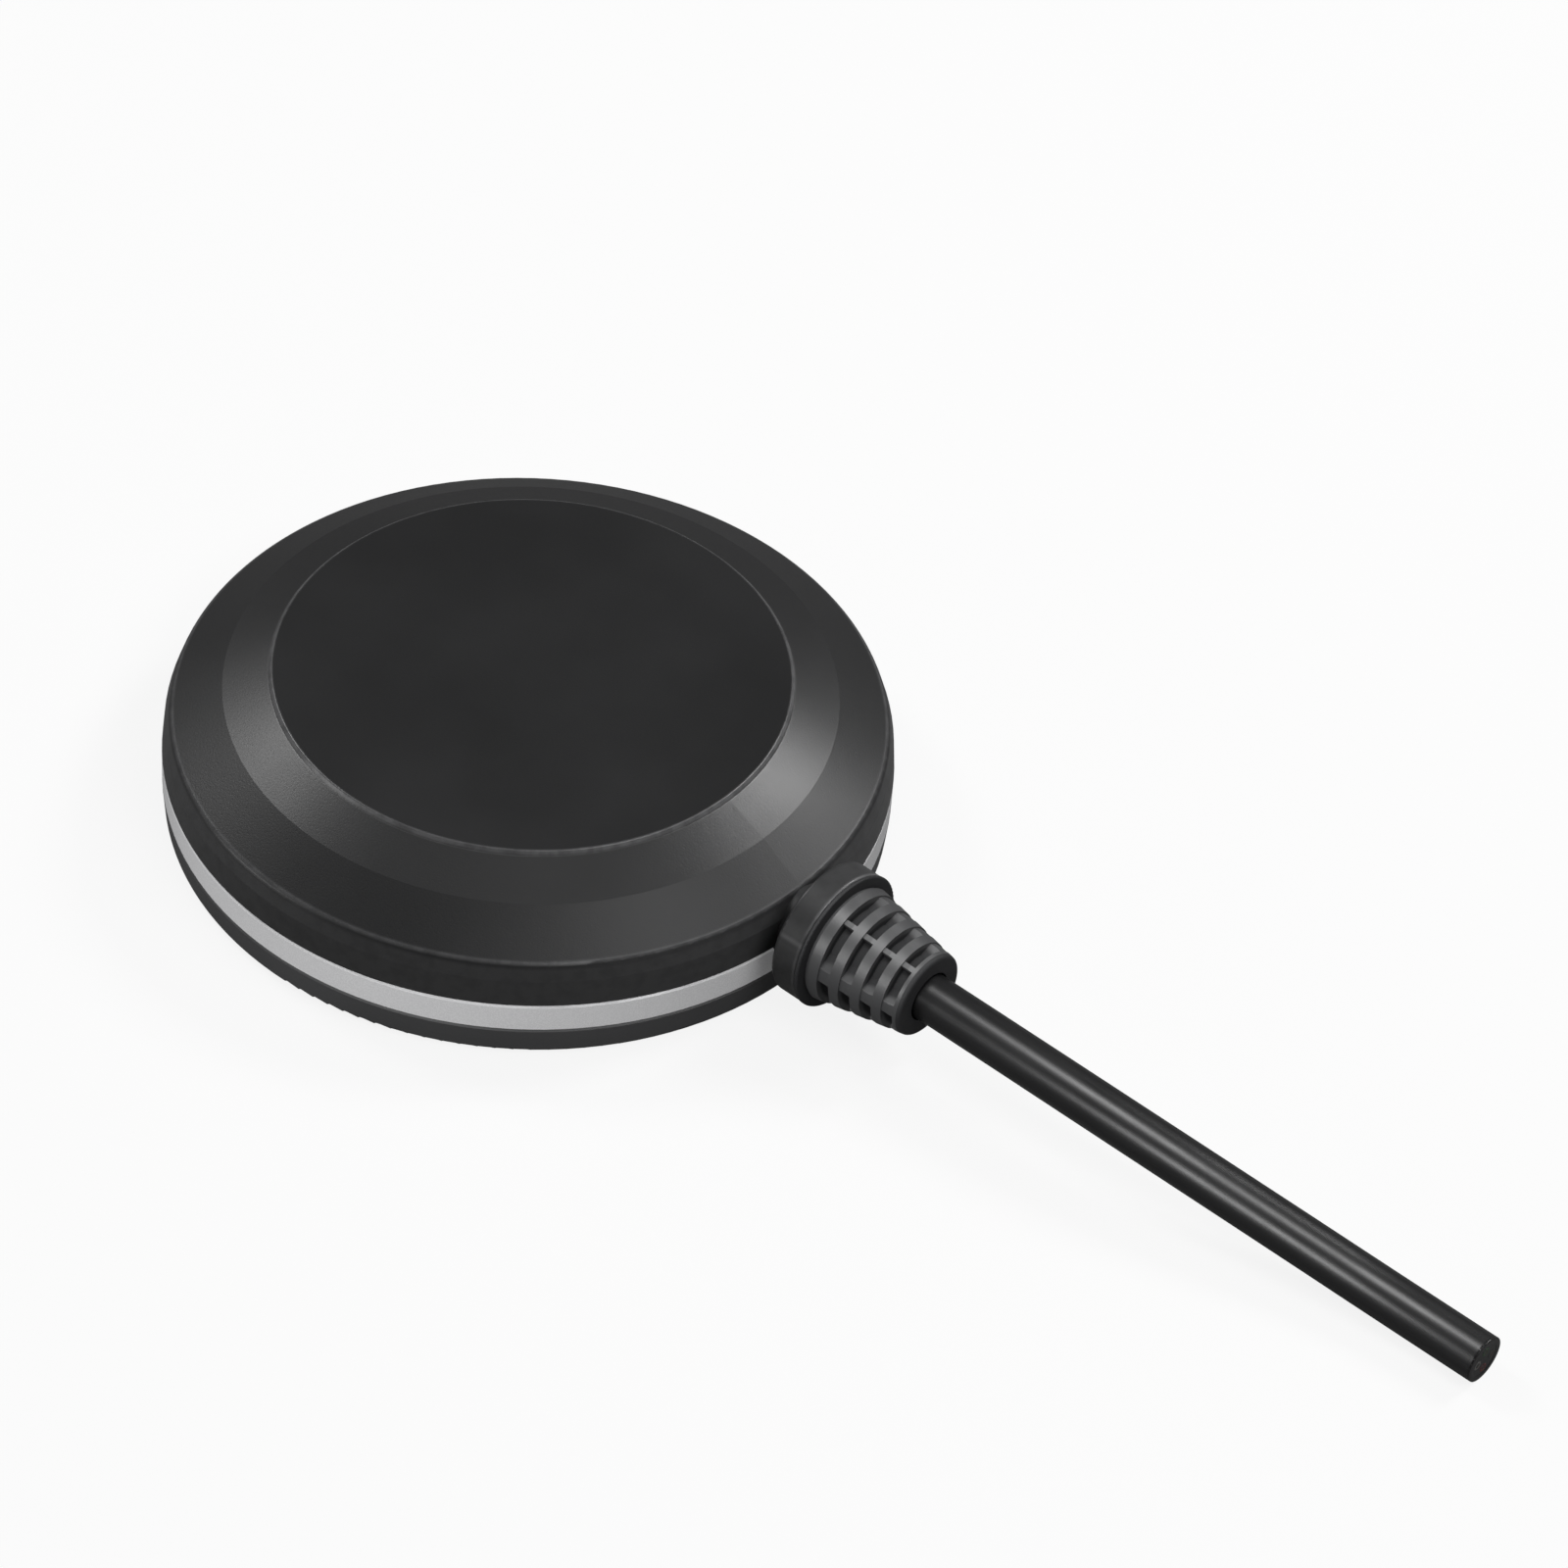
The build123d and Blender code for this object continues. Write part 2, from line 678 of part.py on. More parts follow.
# Rechargeable cell: a can with a smaller lid
cell_centre = (can_centre[0] + cell_can_offset, can_size[1] / 2 + cell_can_gap + cell_radius)
with BuildPart() as backup_cell:
    with BuildSketch(Plane.XY.offset(board_bottom)):
        with Locations(cell_centre):
            Circle(cell_radius)
    extrude(amount=cell_lid_height - cell_height)
    with BuildSketch(Plane.XY.offset(board_bottom - cell_height)):
        with Locations(cell_centre):
            Circle(cell_lid_radius)
    extrude(amount=cell_lid_height)
backup_cell.part.label = "backup_cell"
export_step(backup_cell.part, "parts/backup_cell.step")


# Small ceramic capacitors on the underside, in two rows beside the can
capacitor_centre = (can_right - capacitor_can_offset, -can_size[1] / 2 - capacitor_can_gap)
with BuildPart() as chip_capacitors:
    with BuildSketch(Plane.XY.offset(board_bottom)):
        with Locations(capacitor_centre):
            with GridLocations(*capacitor_pitch, *capacitor_grid):
                Rectangle(capacitor_size[0], capacitor_size[1])
    extrude(amount=-capacitor_size[2])
chip_capacitors.part.label = "chip_capacitors"
export_step(chip_capacitors.part, "parts/chip_capacitors.step")


# Header on the board, its contacts, and the plug of the cable's wires in it
way_spots = [(i - (way_count - 1) / 2) * way_pitch for i in range(way_count)]
header_width = (way_count - 1) * way_pitch + 2 * header_side
mouth_width = header_width - 2 * header_wall
mouth_height = header_height - 2 * header_wall
mouth_centre = board_top + header_height / 2
with BuildPart() as wire_header:
    with BuildSketch(Plane.YZ.offset(header_back)):
        with Locations((0, mouth_centre)):
            Rectangle(header_width, header_height)
    extrude(amount=header_depth)
    with BuildSketch(Plane.YZ.offset(header_back + header_back_wall)):
        with Locations((0, mouth_centre)):
            Rectangle(mouth_width, mouth_height)
    extrude(amount=header_depth - header_back_wall, mode=Mode.SUBTRACT)
    with BuildSketch(Plane.YZ.offset(header_back)):
        with Locations([(y, mouth_centre) for y in way_spots]):
            Rectangle(contact_size, contact_size)
    extrude(amount=header_back_wall, mode=Mode.SUBTRACT)
wire_header.part.label = "wire_header"
export_step(wire_header.part, "parts/wire_header.step")

contact_tip = header_back + header_back_wall + contact_reach
with BuildPart() as header_pins:
    with BuildSketch(Plane.YZ.offset(header_back - contact_size)):
        with Locations([(y, mouth_centre) for y in way_spots]):
            Rectangle(contact_size, contact_size)
    extrude(amount=contact_tip - header_back + contact_size)
    with BuildSketch(Plane.XY.offset(board_top)):
        with Locations([(header_back - contact_size / 2, y) for y in way_spots]):
            Rectangle(contact_size, contact_size)
    extrude(amount=mouth_centre - board_top)
header_pins.part.label = "header_pins"
export_step(header_pins.part, "parts/header_pins.step")

plug_inner_end = header_back + header_back_wall + plug_gap
plug_outer_end = header_front + plug_stick_out
with BuildPart() as wire_plug:
    with BuildSketch(Plane.YZ.offset(plug_inner_end)):
        with Locations((0, mouth_centre)):
            Rectangle(mouth_width - 2 * plug_gap, mouth_height - 2 * plug_gap)
    extrude(amount=plug_outer_end - plug_inner_end)
    with BuildSketch(Plane.YZ.offset(plug_inner_end)):
        with Locations([(y, mouth_centre) for y in way_spots]):
            Rectangle(contact_size + 2 * contact_gap, contact_size + 2 * contact_gap)
    extrude(amount=contact_tip - plug_inner_end + contact_gap, mode=Mode.SUBTRACT)
wire_plug.part.label = "wire_plug"
export_step(wire_plug.part, "parts/wire_plug.step")


# Four wires from the plug down to the end of the cable's jacket
wire_names = ("white_wire", "green_wire", "red_wire", "black_wire")
core_angles = (180, 90, 270, 0)
for wire_name, way_y, core_angle in zip(wire_names, way_spots, core_angles):
    core_y = core_circle_radius * math.cos(math.radians(core_angle))
    core_z = axis_height + core_circle_radius * math.sin(math.radians(core_angle))
    with BuildPart() as wire:
        with BuildLine() as wire_path:
            FilletPolyline(
                (plug_outer_end, way_y, mouth_centre),
                (plug_outer_end + wire_lead, way_y, mouth_centre),
                (cable_start - wire_lay, core_y, core_z),
                (cable_start, core_y, core_z),
                radius=[wire_bend, wire_bend],
            )
        with BuildSketch(Plane(origin=wire_path.line @ 0, z_dir=wire_path.line % 0)):
            Circle(core_diameter / 2)
        sweep(path=wire_path.line)
    wire.part.label = wire_name
    export_step(wire.part, f"parts/{wire_name}.step")


# Strain relief: plug with its snap groove, flange and tapered boot in one turned form,
# then rows of slots that leave rings joined by wide and narrow webs
cable_bore = axis_height + cable_hole_radius
groove_end = flange_front + flange_groove_length
with BuildPart() as strain_relief:
    with BuildSketch(Plane.XZ):
        with BuildLine():
            FilletPolyline(
                (plug_end, cable_bore),
                (plug_end, axis_height + plug_radius),
                (snap_start, axis_height + plug_radius),
                (snap_start, axis_height + plug_radius - snap_depth),
                (snap_end, axis_height + plug_radius - snap_depth),
                (snap_end, axis_height + plug_radius),
                (collar_front, axis_height + plug_radius),
                (collar_front, axis_height + flange_radius),
                (flange_front, axis_height + flange_radius),
                (flange_front, axis_height + boot_start_radius - flange_groove_depth),
                (groove_end, axis_height + boot_start_radius - flange_groove_depth),
                (groove_end, axis_height + boot_start_radius),
                (boot_end, axis_height + boot_end_radius),
                (boot_end, cable_bore + boot_mouth_flare),
                (boot_end - boot_mouth_length, cable_bore),
                radius=[0, 0, 0, 0, 0, 0, 0, flange_round, flange_round, 0, 0, 0, boot_end_round, 0, 0],
                close=True,
            )
        make_face()
    revolve(axis=cable_axis)
    for row in range(slot_rows):
        row_start = flange_front + slot_start + row * slot_pitch
        along = (row_start - flange_front) / boot_length
        ring_radius = boot_start_radius + (boot_end_radius - boot_start_radius) * along
        slot_floor = ring_radius - slot_depth
        web_side = [
            (slot_floor * math.cos(math.radians(web_foot_angle)), slot_floor * math.sin(math.radians(web_foot_angle))),
            (ring_radius * math.cos(math.radians(web_crest_angle)), ring_radius * math.sin(math.radians(web_crest_angle))),
        ]
        web_outline = [(0, 0)] + [(out, -side) for out, side in web_side] + web_side[::-1]
        with BuildSketch(Plane.YZ.offset(row_start)):
            with Locations((0, axis_height)):
                Circle(flange_radius)
                Circle(slot_floor, mode=Mode.SUBTRACT)
                with PolarLocations(0, web_count, start_angle=web_angle):
                    Polygon(*web_outline, align=None, mode=Mode.SUBTRACT)
                with PolarLocations(flange_radius / 2, web_count, start_angle=web_angle + 180 / web_count):
                    Rectangle(flange_radius, narrow_web, mode=Mode.SUBTRACT)
        extrude(amount=slot_width, mode=Mode.SUBTRACT)
        with BuildSketch(Plane.YZ.offset(row_start)):
            with Locations((0, axis_height)):
                Circle(flange_radius)
                Circle(ring_radius - web_recess, mode=Mode.SUBTRACT)
        extrude(amount=slot_width, mode=Mode.SUBTRACT)
strain_relief.part.label = "strain_relief"
export_step(strain_relief.part, "parts/strain_relief.step")


# Cable: straight out of the boot, then gently down to lie on the surface, cut square
cable_route = [
    (cable_start, 0, axis_height),
    (44.6, 0, axis_height),
    (63.1, 0.89, 5.65),
    (78.1, 2.77, 3.3),
    (87.3, 3.77, cable_radius),
    (cable_end, 3.78, cable_radius),
]
route_points = [Vector(*point) for point in cable_route]
cable_radii = []
for before, corner, after in zip(route_points, route_points[1:], route_points[2:]):
    first_run, second_run = corner - before, after - corner
    half_turn = math.radians(first_run.get_angle(second_run) / 2)
    cable_radii.append(0.45 * min(first_run.length, second_run.length) / math.tan(half_turn))
with BuildPart() as cable:
    with BuildLine() as cable_path:
        FilletPolyline(*cable_route, radius=cable_radii)
    with BuildSketch(Plane(origin=cable_path.line @ 0, z_dir=cable_path.line % 0)):
        Circle(cable_radius)
    sweep(path=cable_path.line)
cable.part.label = "cable"
export_step(cable.part, "parts/cable.step")

cable_length = sum(edge.length for edge in cable_path.edges())
tube_volume = math.pi * cable_radius**2 * cable_length
print("cable bend radii", [round(radius, 1) for radius in cable_radii])
print("cable length", round(cable_length, 2))
print("cable volume", round(cable.part.volume, 2), "section times length", round(tube_volume, 2))
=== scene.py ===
import bpy
import math
from mathutils import Matrix, Vector


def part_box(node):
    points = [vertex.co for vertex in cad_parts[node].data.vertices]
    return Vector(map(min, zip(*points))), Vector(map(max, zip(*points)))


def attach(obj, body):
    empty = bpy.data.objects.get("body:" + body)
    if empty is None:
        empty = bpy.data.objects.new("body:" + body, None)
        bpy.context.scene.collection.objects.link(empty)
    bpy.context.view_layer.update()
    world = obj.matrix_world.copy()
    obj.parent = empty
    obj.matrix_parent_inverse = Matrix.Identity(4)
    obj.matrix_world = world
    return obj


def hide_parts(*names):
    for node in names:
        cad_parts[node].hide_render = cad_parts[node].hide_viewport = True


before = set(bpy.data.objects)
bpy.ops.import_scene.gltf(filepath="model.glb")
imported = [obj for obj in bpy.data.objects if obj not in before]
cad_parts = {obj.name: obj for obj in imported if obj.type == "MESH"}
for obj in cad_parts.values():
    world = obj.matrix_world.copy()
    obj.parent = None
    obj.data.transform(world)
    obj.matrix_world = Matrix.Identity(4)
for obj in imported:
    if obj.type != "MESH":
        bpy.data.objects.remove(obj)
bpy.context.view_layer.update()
mm = 0.001
print("frame loaded:", len(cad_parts), "nodes")


# camera, at the photograph's place and angle

cameraView = {
    "distance": 540.01 * mm,  # from the middle of the underside
    "azimuth": 41.04,  # the camera stands this far round from the front, in degrees
    "elevation": 43.406,
    "turn": 3.078,  # it looks this far to the right of the housing
    "tilt": 43.16,  # below the horizon
    "roll": 4.572,
    "lens": 150.0,
    "sensor": 36.0,
}


def towards(azimuth, elevation):  # from the object, in degrees, azimuth from the front to the right
    turned = math.radians(azimuth)
    raised = math.radians(elevation)
    level = math.cos(raised)
    return Vector((level * math.sin(turned), -level * math.cos(turned), math.sin(raised)))


def makeCamera(view):
    place = towards(view["azimuth"], view["elevation"]) * view["distance"]
    heading = Matrix.Rotation(math.radians(view["azimuth"] - view["turn"]), 4, "Z")
    tilting = Matrix.Rotation(math.radians(90 - view["tilt"]), 4, "X")
    rolling = Matrix.Rotation(math.radians(view["roll"]), 4, "Z")
    data = bpy.data.cameras.new("camera")
    data.lens = view["lens"]
    data.sensor_width = view["sensor"]
    camera = bpy.data.objects.new("camera", data)
    camera.matrix_world = Matrix.Translation(place) @ heading @ tilting @ rolling
    bpy.context.scene.collection.objects.link(camera)
    bpy.context.scene.camera = camera


makeCamera(cameraView)
print("camera set")


# node sockets as values in sums, and one maker for every other node


class Value:
    def __init__(self, graph, output):
        self.graph = graph
        self.output = output

    def sum(self, operation, first, second=0.0):
        return self.graph.add("ShaderNodeMath", {"operation": operation}, {0: first, 1: second})

    def __add__(self, other):
        return self.sum("ADD", self, other)

    def __radd__(self, other):
        return self.sum("ADD", other, self)

    def __sub__(self, other):
        return self.sum("SUBTRACT", self, other)

    def __rsub__(self, other):
        return self.sum("SUBTRACT", other, self)

    def __mul__(self, other):
        return self.sum("MULTIPLY", self, other)

    def __rmul__(self, other):
        return self.sum("MULTIPLY", other, self)

    def __pow__(self, other):
        return self.sum("POWER", self, other)

    def __mod__(self, other):
        return self.sum("FLOORED_MODULO", self, other)

    def __abs__(self):
        return self.sum("ABSOLUTE", self)

    def orMore(self, other):
        return self.sum("MAXIMUM", self, other)


class Graph:
    def __init__(self, owner):  # a new material, or the world
        owner.use_nodes = True
        self.owner = owner
        self.tree = owner.node_tree
        self.tree.nodes.clear()

    def add(self, kind, settings=None, sockets=None, output=0):
        node = self.tree.nodes.new(kind)
        for name, value in (settings or {}).items():
            if name == "stops":
                self.setStops(node.color_ramp, value)
            else:
                setattr(node, name, value)
        for name, value in (sockets or {}).items():
            if isinstance(value, Value):
                self.tree.links.new(value.output, node.inputs[name])
            else:
                node.inputs[name].default_value = value
        if isinstance(output, tuple):
            return [Value(self, node.outputs[name]) for name in output]
        return Value(self, node.outputs[output]) if node.outputs else None

    def setStops(self, ramp, stops):
        while len(ramp.elements) < len(stops):
            ramp.elements.new(0.5)
        for element, (position, grey) in zip(ramp.elements, stops):
            element.position = position
            element.color = (grey, grey, grey, 1)

    def place(self):
        return self.add("ShaderNodeTexCoord", output="Object")

    def axes(self, vector):
        return self.add("ShaderNodeSeparateXYZ", {}, {0: vector}, output=("X", "Y", "Z"))

    def stretch(self, vector, factors):
        return self.add("ShaderNodeVectorMath", {"operation": "MULTIPLY"}, {0: vector, 1: factors})

    def noise(self, place, scale, detail=2.0, rough=0.5):
        sockets = {"Vector": place, "Scale": scale, "Detail": detail, "Roughness": rough}
        return self.add("ShaderNodeTexNoise", {}, sockets)

    def cells(self, place, scale, feature="F1"):
        sockets = {"Vector": place, "Scale": scale}
        return self.add("ShaderNodeTexVoronoi", {"feature": feature}, sockets, output="Distance")

    def ramp(self, value, stops):
        return self.add("ShaderNodeValToRGB", {"stops": stops}, {"Fac": value})

    def rise(self, value, low, high):  # 0 below low, 1 above high, smooth between
        sockets = {"Value": value, "From Min": low, "From Max": high}
        return self.add("ShaderNodeMapRange", {"interpolation_type": "SMOOTHSTEP"}, sockets)

    def fall(self, value, low, high):  # the other way round
        return 1.0 - self.rise(value, low, high)

    def line(self, value, middle, half):  # 1 at the middle, 0 from half away
        return self.fall(abs(value - middle), 0.0, half)

    def mix(self, share, first, second):
        sockets = {0: share, 6: first, 7: second}
        return self.add("ShaderNodeMix", {"data_type": "RGBA"}, sockets, output=2)

    def bump(self, height, depth, strength=1.0):
        sockets = {"Height": height, "Distance": depth, "Strength": strength}
        return self.add("ShaderNodeBump", {}, sockets)

    def surface(self, sockets):
        shader = self.add("ShaderNodeBsdfPrincipled", {}, sockets)
        self.add("ShaderNodeOutputMaterial", {}, {"Surface": shader})
        return self.owner


def newGraph(name):
    return Graph(bpy.data.materials.new(name))


def colour(red, green, blue):
    return (red, green, blue, 1.0)


def radiusOf(first, second):
    return (first * first + second * second) ** 0.5


# moulded plastic with a fine spark-eroded grain, of housing, boot, header and plug

mouldedGrain = {  # what all of them share
    "grainDetail": 3.0,
    "grainRough": 0.55,
    "grainShare": 0.7,
    "pitShare": 0.3,
    "pitWidth": 0.35,
    "patchDetail": 3.0,
    "patchStops": [(0.35, 0.0), (0.65, 1.0)],
    "patchGloss": 0.05,
    "grainGloss": 0.08,
}


def mouldedSkin(graph, place, finish):
    shared = mouldedGrain
    grain = graph.noise(place, finish["grainScale"], shared["grainDetail"], shared["grainRough"])
    pits = graph.rise(graph.cells(place, finish["pitScale"]), 0.0, shared["pitWidth"])
    clouds = graph.noise(place, finish["patchScale"], shared["patchDetail"])
    patches = graph.ramp(clouds, shared["patchStops"])
    height = grain * shared["grainShare"] + pits * shared["pitShare"]
    gloss = (patches - 0.5) * shared["patchGloss"] + (grain - 0.5) * shared["grainGloss"]
    return {
        "Specular IOR Level": finish["specular"],
        "Base Color": graph.mix(patches, finish["dark"], finish["light"]),
        "Roughness": finish["roughness"] + gloss,
        "Normal": graph.bump(height, finish["grainDepth"]),
    }


coverFinish = {
    "dark": colour(0.0110, 0.0111, 0.0117),
    "light": colour(0.0140, 0.0141, 0.0149),
    "roughness": 0.40,
    "specular": 0.6,
    "grainScale": 7000.0,
    "grainDepth": 0.010 * mm,
    "pitScale": 2600.0,
    "patchScale": 60.0,
    "side": colour(0.060, 0.0604, 0.0618),  # painted light: wall and boss painted paler than the top, as if more light fell on them
    "sideHeight": 9.3 * mm,
    "sideRadius": 29.2 * mm,
    "sideWear": 0.25,
    "bossStart": 31.0 * mm,
    "bossFull": 32.0 * mm,
    "bossShare": 0.75,
    "highlightColour": colour(0.17, 0.17, 0.174),  # painted highlight: a light line painted along the edges of disc, shoulder and collar
    "highlightGloss": 0.08,
    "highlightOnDisc": 0.95,
    "highlightOnShoulder": 0.55,
    "highlightUneven": 0.4,
    "unevenScale": 900.0,
    "unevenDetail": 3.0,
    "unevenRange": (0.3, 0.62),
    "edgeWidth": 0.3 * mm,
    "discEdge": 21.25 * mm,
    "discHeight": 13.6 * mm,
    "shoulderHeight": 9.62 * mm,
    "shoulderRadius": 28.9 * mm,
    "collarEdge": 33.76 * mm,
    "collarRadius": 5.6 * mm,
    "axisHeight": 6.8 * mm,
}


def makeCover(finish):
    graph = newGraph("coverMoulding")
    place = graph.place()
    x, y, z = graph.axes(place)
    skin = mouldedSkin(graph, place, finish)
    width = finish["edgeWidth"]
    radius = radiusOf(x, y)
    boss = radiusOf(y, z - finish["axisHeight"])

    def edge(along, middle, outward, start):  # a thin line where two faces meet
        return graph.line(along, middle, width) * graph.rise(outward, start, start + width)

    # painted highlight lines on the disc, shoulder and collar edges, made uneven by a noise
    disc = edge(radius, finish["discEdge"], z, finish["discHeight"])
    shoulder = edge(z, finish["shoulderHeight"], radius, finish["shoulderRadius"])
    collar = edge(x, finish["collarEdge"], boss, finish["collarRadius"])
    unevenNoise = graph.noise(place, finish["unevenScale"], finish["unevenDetail"])
    uneven = graph.rise(unevenNoise, *finish["unevenRange"])
    paintedHighlight = disc * finish["highlightOnDisc"] + shoulder * finish["highlightOnShoulder"] + collar
    paintedHighlight = paintedHighlight * ((1.0 - finish["highlightUneven"]) + uneven * finish["highlightUneven"])
    # painted light: wall and boss paler than the top, made uneven by the same noise
    side = graph.fall(z, finish["sideHeight"] - width, finish["sideHeight"] + width)
    side = side * graph.rise(radius, finish["sideRadius"], finish["sideRadius"] + width)
    side = side.orMore(graph.rise(x, finish["bossStart"], finish["bossFull"]) * finish["bossShare"])
    side = side * ((1.0 - finish["sideWear"]) + uneven * finish["sideWear"])
    tint = graph.mix(side, skin["Base Color"], finish["side"])
    skin["Base Color"] = graph.mix(paintedHighlight, tint, finish["highlightColour"])
    skin["Roughness"] = skin["Roughness"] - paintedHighlight * finish["highlightGloss"]
    return graph.surface(skin)


baseFinish = {
    "dark": colour(0.045, 0.0453, 0.0465),
    "light": colour(0.055, 0.0554, 0.0569),
    "roughness": 0.46,
    "specular": 0.5,
    "grainScale": 6200.0,
    "grainDepth": 0.012 * mm,
    "pitScale": 2400.0,
    "patchScale": 70.0,
    "dust": colour(0.06, 0.058, 0.054),  # settled along the lowest edge
    "dustHeights": (0.25 * mm, 0.9 * mm),
    "dustScale": 420.0,
    "dustDetail": 4.0,
    "dustRange": (0.45, 0.7),
    "dustShare": 0.35,
    "dustRoughness": 0.15,
}


def makeBase(finish):
    graph = newGraph("baseMoulding")
    place = graph.place()
    height = graph.axes(place)[2]
    skin = mouldedSkin(graph, place, finish)
    settled = graph.noise(place, finish["dustScale"], finish["dustDetail"])
    dust = graph.fall(height, *finish["dustHeights"]) * graph.rise(settled, *finish["dustRange"])
    skin["Base Color"] = graph.mix(dust * finish["dustShare"], skin["Base Color"], finish["dust"])
    skin["Roughness"] = skin["Roughness"] + dust * finish["dustRoughness"]
    return graph.surface(skin)


bootFinish = {
    "dark": colour(0.046, 0.0464, 0.048),
    "light": colour(0.058, 0.0584, 0.060),
    "roughness": 0.42,
    "specular": 0.7,
    "grainScale": 8200.0,
    "grainDepth": 0.005 * mm,
    "pitScale": 3200.0,
    "patchScale": 110.0,
    "paintedShade": colour(0.004, 0.0042, 0.0055),  # painted shade on the flange face, the end band and in the slots
    "paintedShadeRoughness": 0.7,
    "flangeFront": 34.22 * mm,
    "flangeEdge": (34.20 * mm, 34.27 * mm),
    "endEdge": (42.45 * mm, 42.55 * mm),
    "slotEdge": (0.27 * mm, 0.63 * mm),  # painted shade darkens the slots from this far below the rings
    "startRadius": 5.1 * mm,
    "taper": 1.5 / 8.7,
    "axisHeight": 6.8 * mm,
}


def makeBoot(finish):
    graph = newGraph("bootMoulding")
    place = graph.place()
    x, y, z = graph.axes(place)
    skin = mouldedSkin(graph, place, finish)
    # painted shade: flange face, end band and slot floors are darkened and made rougher
    ringRadius = finish["startRadius"] - (x - finish["flangeFront"]) * finish["taper"]
    below = ringRadius - radiusOf(y, z - finish["axisHeight"])
    slots = graph.rise(below, *finish["slotEdge"])
    ends = graph.fall(x, *finish["flangeEdge"]) + graph.rise(x, *finish["endEdge"])
    paintedShade = ends.orMore(slots)
    skin["Base Color"] = graph.mix(paintedShade, skin["Base Color"], finish["paintedShade"])
    rougher = finish["paintedShadeRoughness"] - finish["roughness"]
    skin["Roughness"] = skin["Roughness"] + paintedShade * rougher
    return graph.surface(skin)


nylonFinish = {
    "dark": colour(0.60, 0.57, 0.48),
    "light": colour(0.68, 0.65, 0.56),
    "roughness": 0.4,
    "specular": 0.5,
    "grainScale": 9000.0,
    "grainDepth": 0.004 * mm,
    "pitScale": 4000.0,
    "patchScale": 300.0,
    "glowShare": 0.3,  # light that goes into the nylon and out again
    "glowDepth": 0.4 * mm,
    "glowColours": (1.0, 0.8, 0.5),
}


def makeNylon(finish):
    graph = newGraph("naturalNylon")
    skin = mouldedSkin(graph, graph.place(), finish)
    skin["Subsurface Weight"] = finish["glowShare"]
    skin["Subsurface Scale"] = finish["glowDepth"]
    skin["Subsurface Radius"] = finish["glowColours"]
    return graph.surface(skin)


# silver paint of the trim ring

trimFinish = {
    "dark": colour(0.74, 0.74, 0.75),
    "light": colour(0.84, 0.84, 0.85),
    "metallic": 0.12,
    "roughness": 0.36,
    "flakeScale": 9000.0,
    "flakeRange": (0.2, 0.6),
    "flakeDepth": 0.004 * mm,
    "flakeBump": 0.5,
    "patchScale": 90.0,
    "patchGloss": 0.08,
    "edge": colour(0.56, 0.56, 0.57),  # thinner paint at the two chamfers
    "edgeLow": 2.98 * mm,
    "edgeHigh": 5.47 * mm,
    "edgeWidth": 0.12 * mm,
    "edgeGloss": 0.1,
    "wornScale": 240.0,
    "wornDetail": 3.0,
    "wornRange": (0.3, 0.75),
}


def makeTrimPaint(finish):
    graph = newGraph("silverPaint")
    place = graph.place()
    height = graph.axes(place)[2]
    flakes = graph.cells(place, finish["flakeScale"])
    tint = graph.mix(graph.rise(flakes, *finish["flakeRange"]), finish["light"], finish["dark"])
    patches = graph.noise(place, finish["patchScale"])
    low = graph.line(height, finish["edgeLow"], finish["edgeWidth"])
    high = graph.line(height, finish["edgeHigh"], finish["edgeWidth"])
    thin = graph.noise(place, finish["wornScale"], finish["wornDetail"])
    worn = (low + high) * graph.rise(thin, *finish["wornRange"])
    gloss = (patches - 0.5) * finish["patchGloss"] + worn * finish["edgeGloss"]
    return graph.surface(
        {
            "Base Color": graph.mix(worn, tint, finish["edge"]),
            "Metallic": finish["metallic"],
            "Roughness": finish["roughness"] + gloss,
            "Normal": graph.bump(flakes, finish["flakeDepth"], finish["flakeBump"]),
        }
    )


# extruded jacket and wire insulation, with fine streaks along the run

jacketFinish = {
    "dark": colour(0.0040, 0.0040, 0.0043),
    "light": colour(0.0060, 0.0060, 0.0064),
    "roughness": 0.34,
    "specular": 0.6,
    "streakScale": 4200.0,
    "streakDepth": 0.0012 * mm,
    "streakBump": 0.6,
    "streakGloss": 0.08,
    "waveScale": 160.0,
    "waveDetail": 1.0,
    "waveGloss": 0.06,
    "alongRun": (0.04, 1, 1),
}
wireFinish = {
    "roughness": 0.35,
    "specular": 0.5,
    "streakScale": 9000.0,
    "streakDepth": 0.003 * mm,
    "streakBump": 0.6,
    "streakGloss": 0.08,
    "waveScale": 500.0,
    "waveDetail": 1.0,
    "waveGloss": 0.06,
    "alongRun": (0.15, 1, 1),
    "darkShare": 0.85,  # the dark streaks' share of the wire's own colour
}


def makeJacket(name, finish):
    graph = newGraph(name)
    place = graph.place()
    streaks = graph.noise(graph.stretch(place, finish["alongRun"]), finish["streakScale"])
    waves = graph.noise(place, finish["waveScale"], finish["waveDetail"])
    gloss = (streaks - 0.5) * finish["streakGloss"] + (waves - 0.5) * finish["waveGloss"]
    return graph.surface(
        {
            "Specular IOR Level": finish["specular"],
            "Base Color": graph.mix(streaks, finish["dark"], finish["light"]),
            "Roughness": finish["roughness"] + gloss,
            "Normal": graph.bump(streaks, finish["streakDepth"], finish["streakBump"]),
        }
    )


def makeInsulation(name, *light):
    dark = [value * wireFinish["darkShare"] for value in light]
    return makeJacket(name, dict(wireFinish, dark=colour(*dark), light=colour(*light)))


# soft matt parts: gasket, foot pad and foam

